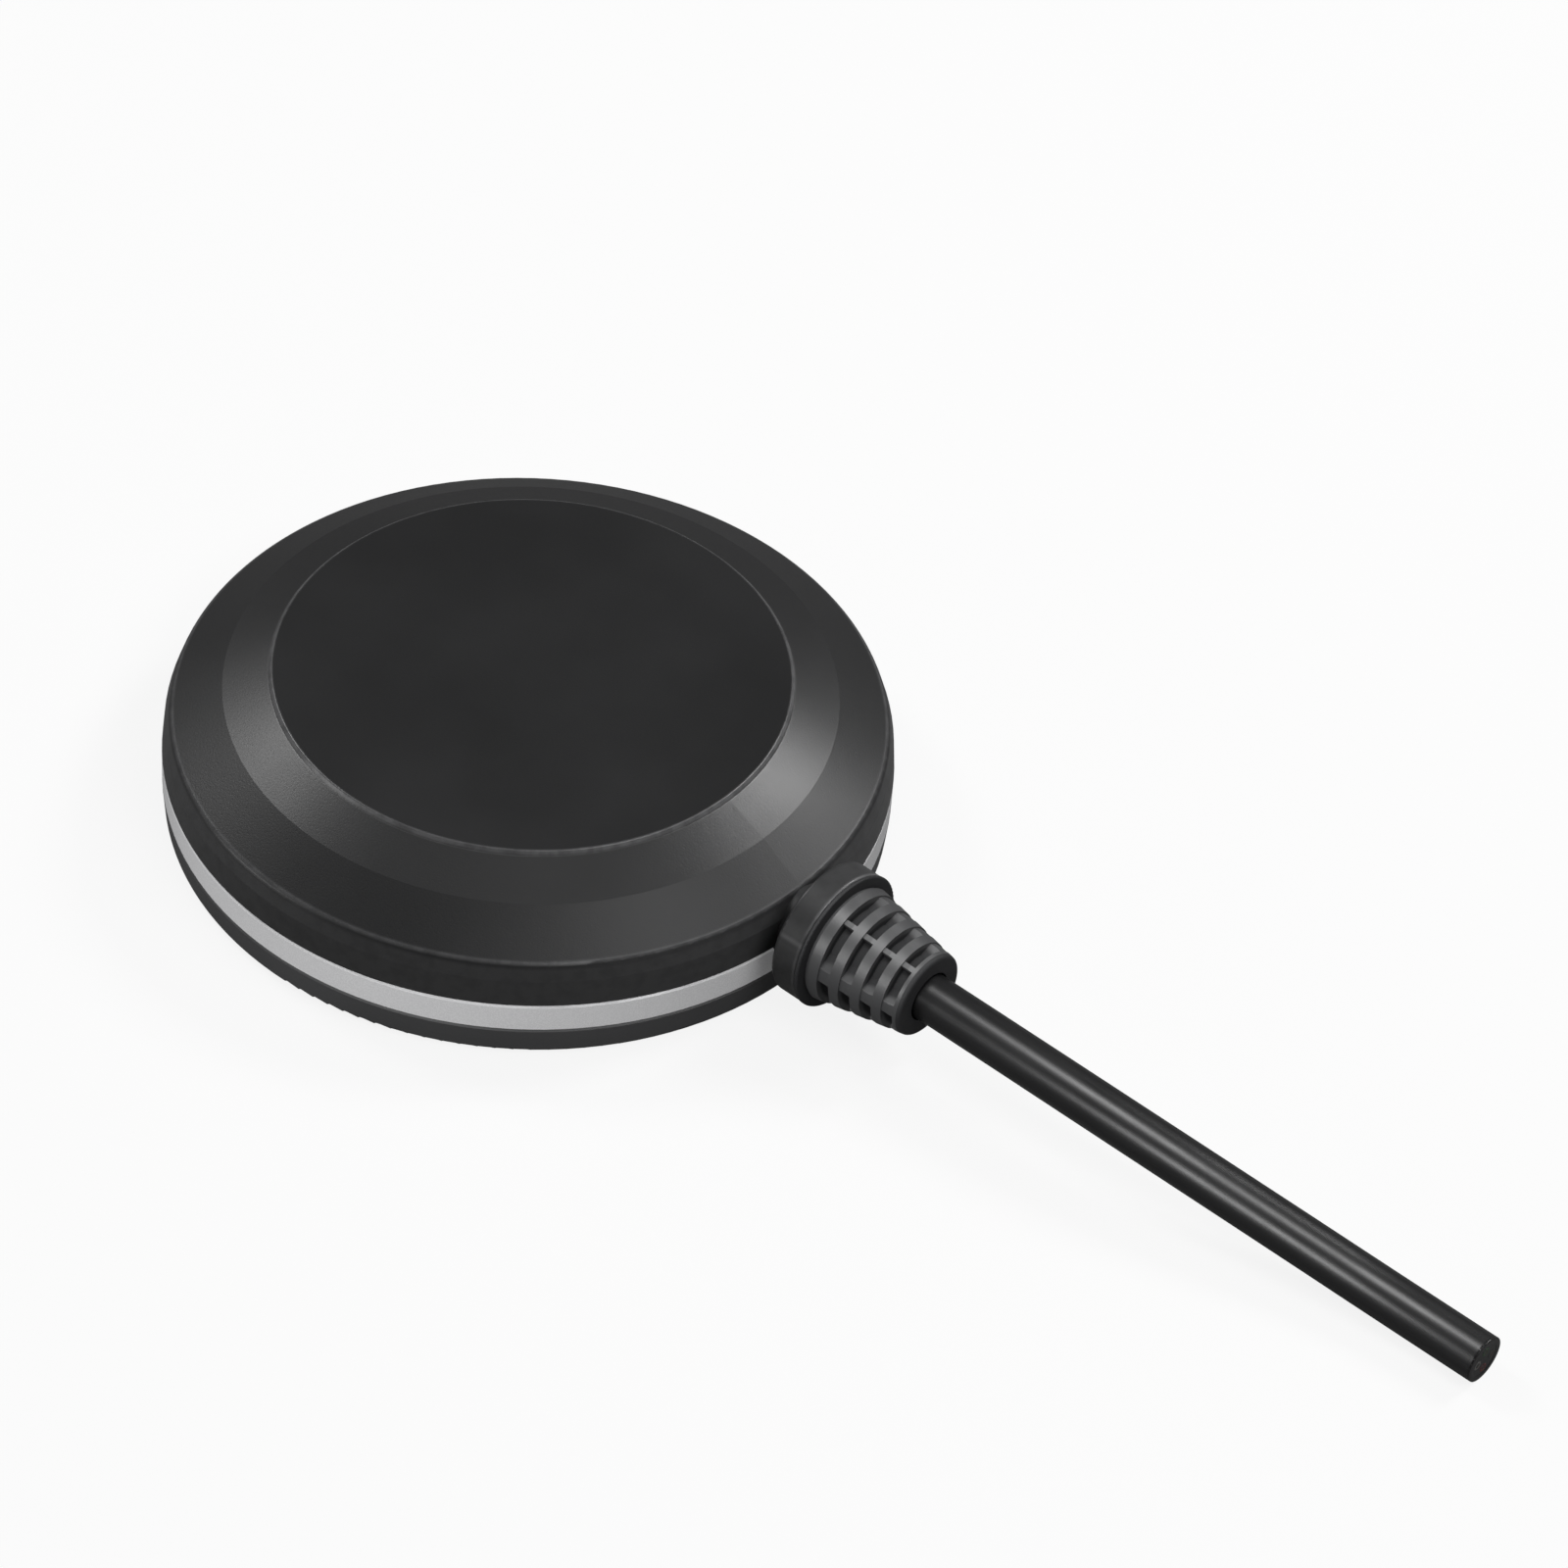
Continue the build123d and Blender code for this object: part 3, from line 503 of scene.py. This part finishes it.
gasketFinish = {
    "dark": colour(0.020, 0.020, 0.020),
    "light": colour(0.034, 0.034, 0.034),
    "roughness": 0.72,
    "scale": 3000.0,
    "depth": 0.02 * mm,
}
padFinish = {
    "dark": colour(0.022, 0.022, 0.022),
    "light": colour(0.036, 0.036, 0.035),
    "roughness": 0.78,
    "scale": 1900.0,
    "depth": 0.045 * mm,
}
foamFinish = {
    "dark": colour(0.52, 0.51, 0.47),
    "light": colour(0.74, 0.73, 0.69),
    "roughness": 0.85,
    "scale": 2600.0,
    "depth": 0.06 * mm,
}
softGrain = {  # what the three share
    "bubbleRange": (0.15, 0.7),
    "bubbleShare": 0.7,
    "dustScale": 0.06,  # next to the bubbles
    "dustDetail": 4.0,
    "dustRange": (0.45, 0.7),
    "dustShare": 0.3,
    "dustGloss": 0.1,
}


def makeSoft(name, finish):
    graph = newGraph(name)
    place = graph.place()
    shared = softGrain
    bubbles = graph.cells(place, finish["scale"], "SMOOTH_F1")
    dust = graph.noise(place, finish["scale"] * shared["dustScale"], shared["dustDetail"])
    share = graph.rise(bubbles, *shared["bubbleRange"]) * shared["bubbleShare"]
    share = share + graph.rise(dust, *shared["dustRange"]) * shared["dustShare"]
    return graph.surface(
        {
            "Base Color": graph.mix(share, finish["dark"], finish["light"]),
            "Roughness": finish["roughness"] + (dust - 0.5) * shared["dustGloss"],
            "Normal": graph.bump(bubbles, finish["depth"]),
        }
    )


# metals: magnet, screws, pins, screen, cell, the patch's silvered face and cut strands

magnetFinish = {
    "dark": colour(0.50, 0.49, 0.46),
    "light": colour(0.64, 0.63, 0.60),
    "roughness": 0.2,
    "patchScale": 220.0,
    "scratchScale": 2200.0,
    "scratchRun": (0.1, 1, 1),
    "depth": 0.002 * mm,
}
screwFinish = {
    "dark": colour(0.40, 0.41, 0.43),
    "light": colour(0.58, 0.59, 0.61),
    "roughness": 0.3,
    "patchScale": 900.0,
    "scratchScale": 5200.0,
    "scratchRun": (1, 1, 0.15),
    "depth": 0.004 * mm,
}
tinFinish = {
    "dark": colour(0.52, 0.52, 0.51),
    "light": colour(0.68, 0.68, 0.66),
    "roughness": 0.28,
    "patchScale": 1500.0,
    "scratchScale": 6500.0,
    "scratchRun": (1, 0.2, 1),
    "depth": 0.003 * mm,
}
canFinish = {
    "dark": colour(0.46, 0.47, 0.47),
    "light": colour(0.62, 0.62, 0.62),
    "roughness": 0.32,
    "patchScale": 520.0,
    "scratchScale": 3800.0,
    "scratchRun": (0.08, 1, 1),
    "depth": 0.004 * mm,
}
electrodeFinish = {
    "dark": colour(0.60, 0.60, 0.57),
    "light": colour(0.74, 0.74, 0.71),
    "roughness": 0.45,
    "patchScale": 380.0,
    "scratchScale": 5600.0,
    "scratchRun": (1, 1, 1),
    "depth": 0.008 * mm,
}
cellFinish = {
    "dark": colour(0.46, 0.46, 0.45),
    "light": colour(0.60, 0.60, 0.59),
    "roughness": 0.26,
    "patchScale": 600.0,
    "scratchScale": 5200.0,
    "scratchRun": (0.06, 1, 1),
    "depth": 0.003 * mm,
}
copperFinish = {
    "dark": colour(0.22, 0.10, 0.05),
    "light": colour(0.40, 0.20, 0.11),
    "roughness": 0.4,
    "patchScale": 5000.0,
    "scratchScale": 9000.0,
    "scratchRun": (1, 1, 1),
    "depth": 0.006 * mm,
}
metalGrain = {  # what all of them share
    "patchDetail": 3.0,
    "patchStops": [(0.35, 0.0), (0.68, 1.0)],
    "patchShare": 0.6,
    "patchGloss": 0.06,
    "scratchDetail": 3.0,
    "scratchRough": 0.6,
    "scratchShare": 0.4,
    "scratchGloss": 0.14,
}


def makeMetal(name, finish):
    graph = newGraph(name)
    place = graph.place()
    shared = metalGrain
    clouds = graph.noise(place, finish["patchScale"], shared["patchDetail"])
    patches = graph.ramp(clouds, shared["patchStops"])
    run = graph.stretch(place, finish["scratchRun"])
    detail = (shared["scratchDetail"], shared["scratchRough"])
    scratches = graph.noise(run, finish["scratchScale"], *detail)
    share = patches * shared["patchShare"] + scratches * shared["scratchShare"]
    gloss = (scratches - 0.5) * shared["scratchGloss"] + patches * shared["patchGloss"]
    return graph.surface(
        {
            "Base Color": graph.mix(share, finish["dark"], finish["light"]),
            "Metallic": 1.0,
            "Roughness": finish["roughness"] + gloss,
            "Normal": graph.bump(scratches, finish["depth"]),
        }
    )


# circuit board: laminate edge, solder mask, and copper tracks under it

boardFinish = {
    "mask": colour(0.012, 0.085, 0.03),
    "overCopper": colour(0.02, 0.15, 0.05),
    "bareCopper": colour(0.62, 0.42, 0.20),
    "hole": colour(0.01, 0.01, 0.01),
    "laminate": colour(0.33, 0.31, 0.17),
    "fibre": colour(0.24, 0.23, 0.13),
    "roughness": 0.28,
    "edgeRoughness": 0.4,  # more than the mask's
    "depth": 0.03 * mm,
    "trackPitch": 1.1 * mm,
    "trackHalf": 0.16 * mm,
    "trackRange": (0.25, 0.4),
    "areaScale": 130.0,  # tracks run one way in some areas, and the other way elsewhere
    "areaDetail": 1.0,
    "areaRange": (0.49, 0.51),
    "viaPitch": 2.2 * mm,
    "viaRadius": 0.22 * mm,
    "viaEdge": 0.03 * mm,
    "boreRange": (0.45, 0.55),  # of the via's radius
    "skin": 0.06 * mm,
    "skinBlend": 1.3,
    "fibreScale": 1200.0,
    "fibreRun": (1, 1, 9),
    "fibreGloss": 0.06,
}
cellsAway = 100  # pitches added before a modulo, so that it only gets positive places


def makeBoard(finish):
    graph = newGraph("solderMask")
    place = graph.place()
    x, y, z = graph.axes(place)
    low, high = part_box("circuit_board")

    def across(value, pitch):  # place within one pitch
        return (value + cellsAway * pitch) % pitch

    pitch = finish["trackPitch"]
    half = finish["trackHalf"]
    clouds = graph.noise(place, finish["areaScale"], finish["areaDetail"])
    areas = graph.rise(clouds, *finish["areaRange"])
    alongX = graph.line(across(y, pitch), pitch / 2, half) * areas
    alongY = graph.line(across(x, pitch), pitch / 2, half) * (1.0 - areas)
    tracks = graph.rise(alongX + alongY, *finish["trackRange"])
    grid = finish["viaPitch"]
    via = finish["viaRadius"]
    hole = radiusOf(across(x, grid) - grid / 2, across(y, grid) - grid / 2)
    ring = graph.fall(hole, via, via + finish["viaEdge"])
    bore = graph.fall(hole, *(via * share for share in finish["boreRange"]))
    tint = graph.mix(tracks, finish["mask"], finish["overCopper"])
    tint = graph.mix(ring, tint, finish["bareCopper"])
    tint = graph.mix(bore, tint, finish["hole"])
    thin = finish["skin"]
    thick = thin * finish["skinBlend"]
    inside = graph.rise(z, low[2] + thin, low[2] + thick)
    inside = inside * graph.fall(z, high[2] - thick, high[2] - thin)
    fibres = graph.noise(graph.stretch(place, finish["fibreRun"]), finish["fibreScale"])
    edge = graph.mix(fibres, finish["laminate"], finish["fibre"])
    gloss = inside * finish["edgeRoughness"] + (fibres - 0.5) * finish["fibreGloss"]
    return graph.surface(
        {
            "Base Color": graph.mix(inside, tint, edge),
            "Metallic": ring * (1.0 - bore) * (1.0 - inside),
            "Roughness": finish["roughness"] + gloss,
            "Normal": graph.bump(tracks - bore, finish["depth"]),
        }
    )


# fired ceramic of the patch

ceramicFinish = {
    "dark": colour(0.52, 0.45, 0.34),
    "light": colour(0.66, 0.59, 0.47),
    "speck": colour(0.30, 0.24, 0.17),
    "roughness": 0.6,
    "depth": 0.02 * mm,
    "grainScale": 4200.0,
    "grainDetail": 4.0,
    "grainRough": 0.6,
    "grainShare": 0.6,
    "grainGloss": 0.1,
    "cloudScale": 190.0,
    "cloudDetail": 3.0,
    "cloudRange": (0.35, 0.65),
    "speckScale": 1300.0,
    "speckRange": (0.07, 0.12),
    "speckShare": 0.6,
    "sawScale": 2600.0,
    "sawRun": (0.05, 0.05, 1),
    "sawShare": 0.4,
}


def makeCeramic(finish):
    graph = newGraph("firedCeramic")
    place = graph.place()
    grain = graph.noise(place, finish["grainScale"], finish["grainDetail"], finish["grainRough"])
    clouds = graph.noise(place, finish["cloudScale"], finish["cloudDetail"])
    specks = graph.fall(graph.cells(place, finish["speckScale"]), *finish["speckRange"])
    sawMarks = graph.noise(graph.stretch(place, finish["sawRun"]), finish["sawScale"])
    tint = graph.mix(graph.rise(clouds, *finish["cloudRange"]), finish["dark"], finish["light"])
    height = grain * finish["grainShare"] + sawMarks * finish["sawShare"]
    return graph.surface(
        {
            "Base Color": graph.mix(specks * finish["speckShare"], tint, finish["speck"]),
            "Roughness": finish["roughness"] + (grain - 0.5) * finish["grainGloss"],
            "Normal": graph.bump(height, finish["depth"]),
        }
    )


# moulded chips with a pin-one dimple, lidded parts, regulator and capacitors, all face down

chipFinish = {
    "dark": colour(0.016, 0.016, 0.017),
    "light": colour(0.030, 0.030, 0.031),
    "roughness": 0.55,
    "scale": 6500.0,
    "detail": 4.0,
    "rough": 0.6,
    "depth": 0.012 * mm,
    "gloss": 0.12,
    "dimpleInset": 0.8 * mm,
    "dimpleRadii": (0.224 * mm, 0.28 * mm),
    "dimpleDepth": 0.06 * mm,
    "dimpleGloss": 0.2,
    "faceSkin": (0.02 * mm, 0.05 * mm),
}


def makeChip(node, finish):
    graph = newGraph(node + "Mould")
    place = graph.place()
    x, y, z = graph.axes(place)
    low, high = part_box(node)
    inset = finish["dimpleInset"]
    grain = graph.noise(place, finish["scale"], finish["detail"], finish["rough"])
    away = radiusOf(x - (low[0] + inset), y - (low[1] + inset))
    face = graph.fall(z, *(low[2] + skin for skin in finish["faceSkin"]))
    dimple = graph.fall(away, *finish["dimpleRadii"]) * face
    height = grain * finish["depth"] - dimple * finish["dimpleDepth"]
    gloss = (grain - 0.5) * finish["gloss"] - dimple * finish["dimpleGloss"]
    return graph.surface(
        {
            "Base Color": graph.mix(grain, finish["dark"], finish["light"]),
            "Roughness": finish["roughness"] + gloss,
            "Normal": graph.bump(height, 1.0),
        }
    )


lidFinish = {
    "lid": colour(0.62, 0.56, 0.40),
    "lidDark": colour(0.50, 0.45, 0.32),
    "body": colour(0.20, 0.18, 0.15),
    "lidShare": 0.35,
    "seam": 0.02 * mm,
    "roughness": 0.3,
    "bodyRoughness": 0.3,  # more than the lid's
    "brushScale": 7000.0,
    "brushDetail": 3.0,
    "brushRun": (0.1, 1, 1),
    "brushGloss": 0.1,
    "depth": 0.003 * mm,
}


def makeLid(node, finish):
    graph = newGraph(node + "Lid")
    place = graph.place()
    height = graph.axes(place)[2]
    low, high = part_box(node)
    rim = low[2] + (high[2] - low[2]) * finish["lidShare"]
    metal = graph.fall(height, rim - finish["seam"], rim + finish["seam"])
    run = graph.stretch(place, finish["brushRun"])
    brushed = graph.noise(run, finish["brushScale"], finish["brushDetail"])
    lid = graph.mix(brushed, finish["lidDark"], finish["lid"])
    gloss = (1.0 - metal) * finish["bodyRoughness"] + (brushed - 0.5) * finish["brushGloss"]
    return graph.surface(
        {
            "Base Color": graph.mix(metal, finish["body"], lid),
            "Metallic": metal,
            "Roughness": finish["roughness"] + gloss,
            "Normal": graph.bump(brushed, finish["depth"]),
        }
    )


regulatorFinish = {
    "bodyHalf": (0.752 * mm, 0.762 * mm),  # the legs stand out beyond this
    "legGloss": 0.25,
    "grainGloss": 0.1,
}


def makeRegulator(finish, chip, tin):
    graph = newGraph("regulatorMould")
    place = graph.place()
    across = graph.axes(place)[1]
    low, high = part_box("voltage_regulator")
    legs = graph.rise(abs(across - (low[1] + high[1]) / 2), *finish["bodyHalf"])
    grain = graph.noise(place, chip["scale"], chip["detail"], chip["rough"])
    body = graph.mix(grain, chip["dark"], chip["light"])
    leg = graph.mix(grain, tin["dark"], tin["light"])
    gloss = (grain - 0.5) * finish["grainGloss"] - legs * finish["legGloss"]
    return graph.surface(
        {
            "Base Color": graph.mix(legs, body, leg),
            "Metallic": legs,
            "Roughness": chip["roughness"] + gloss,
            "Normal": graph.bump(grain, chip["depth"]),
        }
    )


capacitorFinish = {
    "body": colour(0.28, 0.17, 0.09),
    "bodyLight": colour(0.38, 0.25, 0.15),
    "pitch": 2.6 * mm,
    "length": 1.6 * mm,
    "endLength": 0.32 * mm,
    "endBlend": 0.03 * mm,
    "endHeight": 2.0,
    "endGloss": 0.15,
    "roughness": 0.5,
    "grainScale": 7000.0,
    "grainDetail": 3.0,
    "grainGloss": 0.12,
    "depth": 0.008 * mm,
}


def makeCapacitor(finish, tin):
    graph = newGraph("capacitorCeramic")
    place = graph.place()
    run = graph.axes(place)[0]
    low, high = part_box("chip_capacitors")
    pitch = finish["pitch"]
    along = (run - low[0] + cellsAway * pitch) % pitch  # from each one's left end
    fromMiddle = abs(along - finish["length"] / 2)
    endStart = finish["length"] / 2 - finish["endLength"]
    ends = graph.rise(fromMiddle, endStart, endStart + finish["endBlend"])
    grain = graph.noise(place, finish["grainScale"], finish["grainDetail"])
    body = graph.mix(grain, finish["body"], finish["bodyLight"])
    gloss = (grain - 0.5) * finish["grainGloss"] - ends * finish["endGloss"]
    return graph.surface(
        {
            "Base Color": graph.mix(ends, body, tin["light"]),
            "Metallic": ends,
            "Roughness": finish["roughness"] + gloss,
            "Normal": graph.bump(grain + ends * finish["endHeight"], finish["depth"]),
        }
    )


materials = {
    "top_cover": makeCover(coverFinish),
    "base_shell": makeBase(baseFinish),
    "strain_relief": makeBoot(bootFinish),
    "trim_ring": makeTrimPaint(trimFinish),
    "cable": makeJacket("cableJacket", jacketFinish),
    "seal_gasket": makeSoft("gasketRubber", gasketFinish),
    "foot_pad": makeSoft("padRubber", padFinish),
    "antenna_pad": makeSoft("padFoam", foamFinish),
    "magnet": makeMetal("nickelPlate", magnetFinish),
    "base_screws": makeMetal("zincPlate", screwFinish),
    "antenna_pin": makeMetal("tinnedPin", tinFinish),
    "shield_can": makeMetal("tinnedSheet", canFinish),
    "antenna_electrode": makeMetal("firedSilver", electrodeFinish),
    "backup_cell": makeMetal("cellSteel", cellFinish),
    "circuit_board": makeBoard(boardFinish),
    "patch_antenna": makeCeramic(ceramicFinish),
    "receiver_chip": makeChip("receiver_chip", chipFinish),
    "interface_chip": makeChip("interface_chip", chipFinish),
    "reference_oscillator": makeLid("reference_oscillator", lidFinish),
    "input_filter": makeLid("input_filter", lidFinish),
    "interface_crystal": makeLid("interface_crystal", lidFinish),
    "voltage_regulator": makeRegulator(regulatorFinish, chipFinish, tinFinish),
    "chip_capacitors": makeCapacitor(capacitorFinish, tinFinish),
    "wire_header": makeNylon(nylonFinish),
    "red_wire": makeInsulation("redInsulation", 0.45, 0.02, 0.02),
    "black_wire": makeInsulation("blackInsulation", 0.02, 0.02, 0.02),
    "green_wire": makeInsulation("greenInsulation", 0.03, 0.26, 0.06),
    "white_wire": makeInsulation("whiteInsulation", 0.70, 0.70, 0.68),
}
materials["board_screws"] = materials["base_screws"]
materials["header_pins"] = materials["antenna_pin"]
materials["wire_plug"] = materials["wire_header"]
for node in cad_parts:
    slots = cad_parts[node].data.materials
    slots.clear()
    slots.append(materials[node])
print("materials set on", len(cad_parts), "nodes")


# cable, and its cut end

cableShape = {
    "diameter": 4.0 * mm,
    "exit": (42.9 * mm, 0, 6.8 * mm),
    "length": 71.5 * mm,
    "route": [  # the centre line in mm, from inside the housing to the cut end
        (24.6, 0, 6.8),
        (44.6, 0, 6.8),
        (63.1, 0.89, 5.65),
        (78.1, 2.77, 3.3),
        (87.3, 3.77, 2.0),
        (95.63, 3.78, 2.0),
    ],
    "roundness": 12,
    "smoothness": 24,
}
cutEnd = {
    "thickness": 0.2 * mm,
    "proud": 0.02 * mm,
    "faceSides": 48,
    "faceBevel": 0.03 * mm,
    "jacketWall": 0.55 * mm,
    "fillerRecess": 0.06 * mm,
    "fillerSlope": 0.03 * mm,
    "fillerEdge": 0.02 * mm,
    "fillerScale": 5200.0,
    "cores": {"white": 180, "green": 90, "red": 270, "black": 0},  # degrees round the cable's axis
    "coreSides": 24,
    "coreCircle": 0.88 * mm,
    "coreRadius": 0.4 * mm,
    "coreProud": 0.05 * mm,
    "coreBevel": 0.012 * mm,
    "copperInset": 0.17 * mm,
    "copperRecess": 0.04 * mm,
    "copperSlope": 0.015 * mm,
    "bevelSteps": 2,
    "smoothBelow": 35,  # degrees
    "endFacing": 0.9,  # how far along x a face of the end looks, at least
    "middleFacing": 0.5,  # and a face of the filler or the copper
}
cutColours = {  # smeared and dusty from the cut
    "white": (0.16, 0.16, 0.15),
    "green": (0.015, 0.06, 0.02),
    "red": (0.11, 0.012, 0.012),
    "black": (0.012, 0.012, 0.012),
}


def pickFaces(mesh, test):
    bpy.ops.object.mode_set(mode="OBJECT")
    for part in (mesh.vertices, mesh.edges, mesh.polygons):
        for item in part:
            item.select = False
    for face in mesh.polygons:
        face.select = test(face)
    bpy.ops.object.mode_set(mode="EDIT")


def makeDisc(name, centre, radius, thickness, sides):
    bpy.ops.object.select_all(action="DESELECT")
    bpy.ops.mesh.primitive_cylinder_add(
        vertices=sides, radius=radius, depth=thickness, location=centre, rotation=(0, math.pi / 2, 0)
    )
    disc = bpy.context.object
    disc.name = name
    bpy.ops.object.transform_apply(location=True, rotation=True, scale=True)
    bpy.ops.object.mode_set(mode="EDIT")
    bpy.ops.mesh.select_mode(type="FACE")
    pickFaces(disc.data, lambda face: face.normal.x > cutEnd["endFacing"])
    return disc


def finishDisc(disc, finishes, bevelWidth):
    bpy.ops.object.mode_set(mode="OBJECT")
    bevel = disc.modifiers.new("edge", "BEVEL")
    bevel.width = bevelWidth
    bevel.segments = cutEnd["bevelSteps"]
    bevel.limit_method = "ANGLE"
    bpy.ops.object.modifier_apply(modifier="edge")
    bpy.ops.object.shade_smooth_by_angle(angle=math.radians(cutEnd["smoothBelow"]))
    disc.data.materials.clear()
    for material in finishes:
        disc.data.materials.append(material)


def fillMiddle(disc, centre, radius, lowerThan=math.inf):  # second material on the middle of the face
    for face in disc.data.polygons:
        away = math.hypot(face.center.y - centre[1], face.center.z - centre[2])
        outward = face.normal.x > cutEnd["middleFacing"]
        if outward and away < radius and face.center.x < lowerThan:
            face.material_index = 1


def makeCutEnd(shape):
    x, y, z = (value * mm for value in cableShape["route"][-1])
    depth = shape["thickness"]
    front = x + shape["proud"]
    middle = (front - depth / 2, y, z)
    radius = cableShape["diameter"] / 2
    face = makeDisc("cutFace", middle, radius, depth, shape["faceSides"])
    bpy.ops.mesh.inset(thickness=shape["jacketWall"], depth=0)
    bpy.ops.mesh.inset(thickness=shape["fillerSlope"], depth=-shape["fillerRecess"])
    filler = makeSoft("cableFiller", dict(gasketFinish, scale=shape["fillerScale"]))
    finishDisc(face, [materials["cable"], filler], shape["faceBevel"])
    inner = radius - shape["jacketWall"] - shape["fillerEdge"]
    fillMiddle(face, middle, inner, front - shape["fillerRecess"] / 2)

    centre = (front - shape["fillerRecess"] + shape["coreProud"] - depth / 2, y, z)
    first = makeDisc("cutCore", centre, shape["coreRadius"], depth, shape["coreSides"])
    bpy.ops.mesh.inset(thickness=shape["copperInset"], depth=0)
    bpy.ops.mesh.inset(thickness=shape["copperSlope"], depth=-shape["copperRecess"])
    copper = makeMetal("copperStrands", copperFinish)
    finishDisc(first, [materials["cable"], copper], shape["coreBevel"])
    fillMiddle(first, centre, shape["coreRadius"] - shape["copperInset"])
    pieces = [face]
    for name, degrees in shape["cores"].items():
        angle = math.radians(degrees)
        sideways = shape["coreCircle"] * math.cos(angle)
        upward = shape["coreCircle"] * math.sin(angle)
        core = bpy.data.objects.new(name + "Core", first.data.copy())
        core.data.transform(Matrix.Translation((0, sideways, upward)))
        core.data.materials[0] = makeInsulation(name + "CutInsulation", *cutColours[name])
        bpy.context.scene.collection.objects.link(core)
        pieces.append(core)
    bpy.data.objects.remove(first)
    for piece in pieces:
        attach(piece, "root")
    return pieces


def makeCable(shape):
    data = bpy.data.curves.new("cableCord", "CURVE")
    data.dimensions = "3D"
    data.bevel_depth = shape["diameter"] / 2
    data.bevel_resolution = shape["roundness"]
    data.use_fill_caps = True
    data.resolution_u = shape["smoothness"]
    line = data.splines.new("NURBS")
    line.points.add(len(shape["route"]) - 1)
    for point, (x, y, z) in zip(line.points, shape["route"]):
        point.co = (x * mm, y * mm, z * mm, 1)
    line.order_u = 3
    line.use_endpoint_u = True
    data.materials.append(materials["cable"])
    cable = bpy.data.objects.new("cableCord", data)
    bpy.context.scene.collection.objects.link(cable)
    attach(cable, "root")
    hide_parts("cable")
    makeCutEnd(cutEnd)


makeCable(cableShape)
print("cable made")


# floor, world and lamps

studio = {
    "floorSide": 6.0,
    "floorColour": colour(0.18, 0.18, 0.18),
    "floorSeen": colour(0.95, 0.95, 0.95),
    "shadowShare": 0.13,  # how much of the lamps' light and shadow the camera sees on the floor
    "floorForGloss": 0.05,  # how white the floor is in gloss, next to what the camera sees
    "worldForGloss": 0.05,
    "worldForLight": 0.08,
}


def whiteMask(graph, forGloss):
    camera, glossy, through = graph.add(
        "ShaderNodeLightPath", output=("Is Camera Ray", "Is Glossy Ray", "Is Transmission Ray")
    )
    return camera + (glossy + through) * forGloss


def makeFloor():
    graph = newGraph("floorPaper")
    white = whiteMask(graph, studio["floorForGloss"]) * (1.0 - studio["shadowShare"])
    seen = graph.add("ShaderNodeLightPath", output="Is Camera Ray")
    tint = graph.mix(seen, studio["floorColour"], studio["floorSeen"])
    paper = graph.add("ShaderNodeBsdfDiffuse", {}, {"Color": tint})
    glow = graph.add("ShaderNodeEmission", {}, {"Color": colour(1, 1, 1), "Strength": 1.0})
    both = graph.add("ShaderNodeMixShader", {}, {0: white, 1: paper, 2: glow})
    graph.add("ShaderNodeOutputMaterial", {}, {"Surface": both})
    bpy.ops.mesh.primitive_plane_add(size=studio["floorSide"], location=(0, 0, 0))
    floor = bpy.context.object
    floor.name = "floor"
    floor.data.materials.append(graph.owner)


def makeWorld():
    world = bpy.data.worlds.new("world")
    graph = Graph(world)
    white = whiteMask(graph, studio["worldForGloss"])
    strength = white + (1.0 - white) * studio["worldForLight"]
    light = {"Color": colour(1, 1, 1), "Strength": strength}
    background = graph.add("ShaderNodeBackground", {}, light)
    graph.add("ShaderNodeOutputWorld", {}, {"Surface": background})
    bpy.context.scene.world = world


lampDistance = 0.7
lamps = {  # azimuth from the front, elevation, width, height, watts
    "backLeft": (-88, 44, 0.15, 0.18, 1.35),
    "backRight": (163, 44, 0.17, 0.2, 1.9),
    "left": (-40, 12, 0.25, 0.2, 0.6),
    "front": (12, 24, 0.35, 0.18, 2.3),
    "frontHigh": (84, 50, 0.4, 0.2, 1.4),
    "top": (20, 84, 0.25, 0.25, 0.2),
    "overhead": (-28, 82.8, 0.3, 0.2, 1.9),
}
onlyOn = {
    "front": ["trim_ring", "base_shell", "strain_relief", "cableCord"],  # not on the glossy disc
    "overhead": ["strain_relief", "cableCord"],  # for their long highlight
}


def makeLamps():
    for name, (azimuth, elevation, width, height, watts) in lamps.items():
        data = bpy.data.lights.new(name, "AREA")
        data.shape = "RECTANGLE"
        data.size = width
        data.size_y = height
        data.energy = watts
        lamp = bpy.data.objects.new(name, data)
        lamp.visible_camera = False
        away = towards(azimuth, elevation)
        facing = away.to_track_quat("Z", "Y").to_matrix().to_4x4()
        lamp.matrix_world = Matrix.Translation(away * lampDistance) @ facing
        bpy.context.scene.collection.objects.link(lamp)
        if name in onlyOn:
            lit = bpy.data.collections.new(name + "Lit")
            for piece in onlyOn[name]:
                lit.objects.link(bpy.data.objects[piece])
            lamp.light_linking.receiver_collection = lit


makeFloor()
makeWorld()
makeLamps()
bpy.context.scene.view_settings.view_transform = "Standard"
print("studio made")
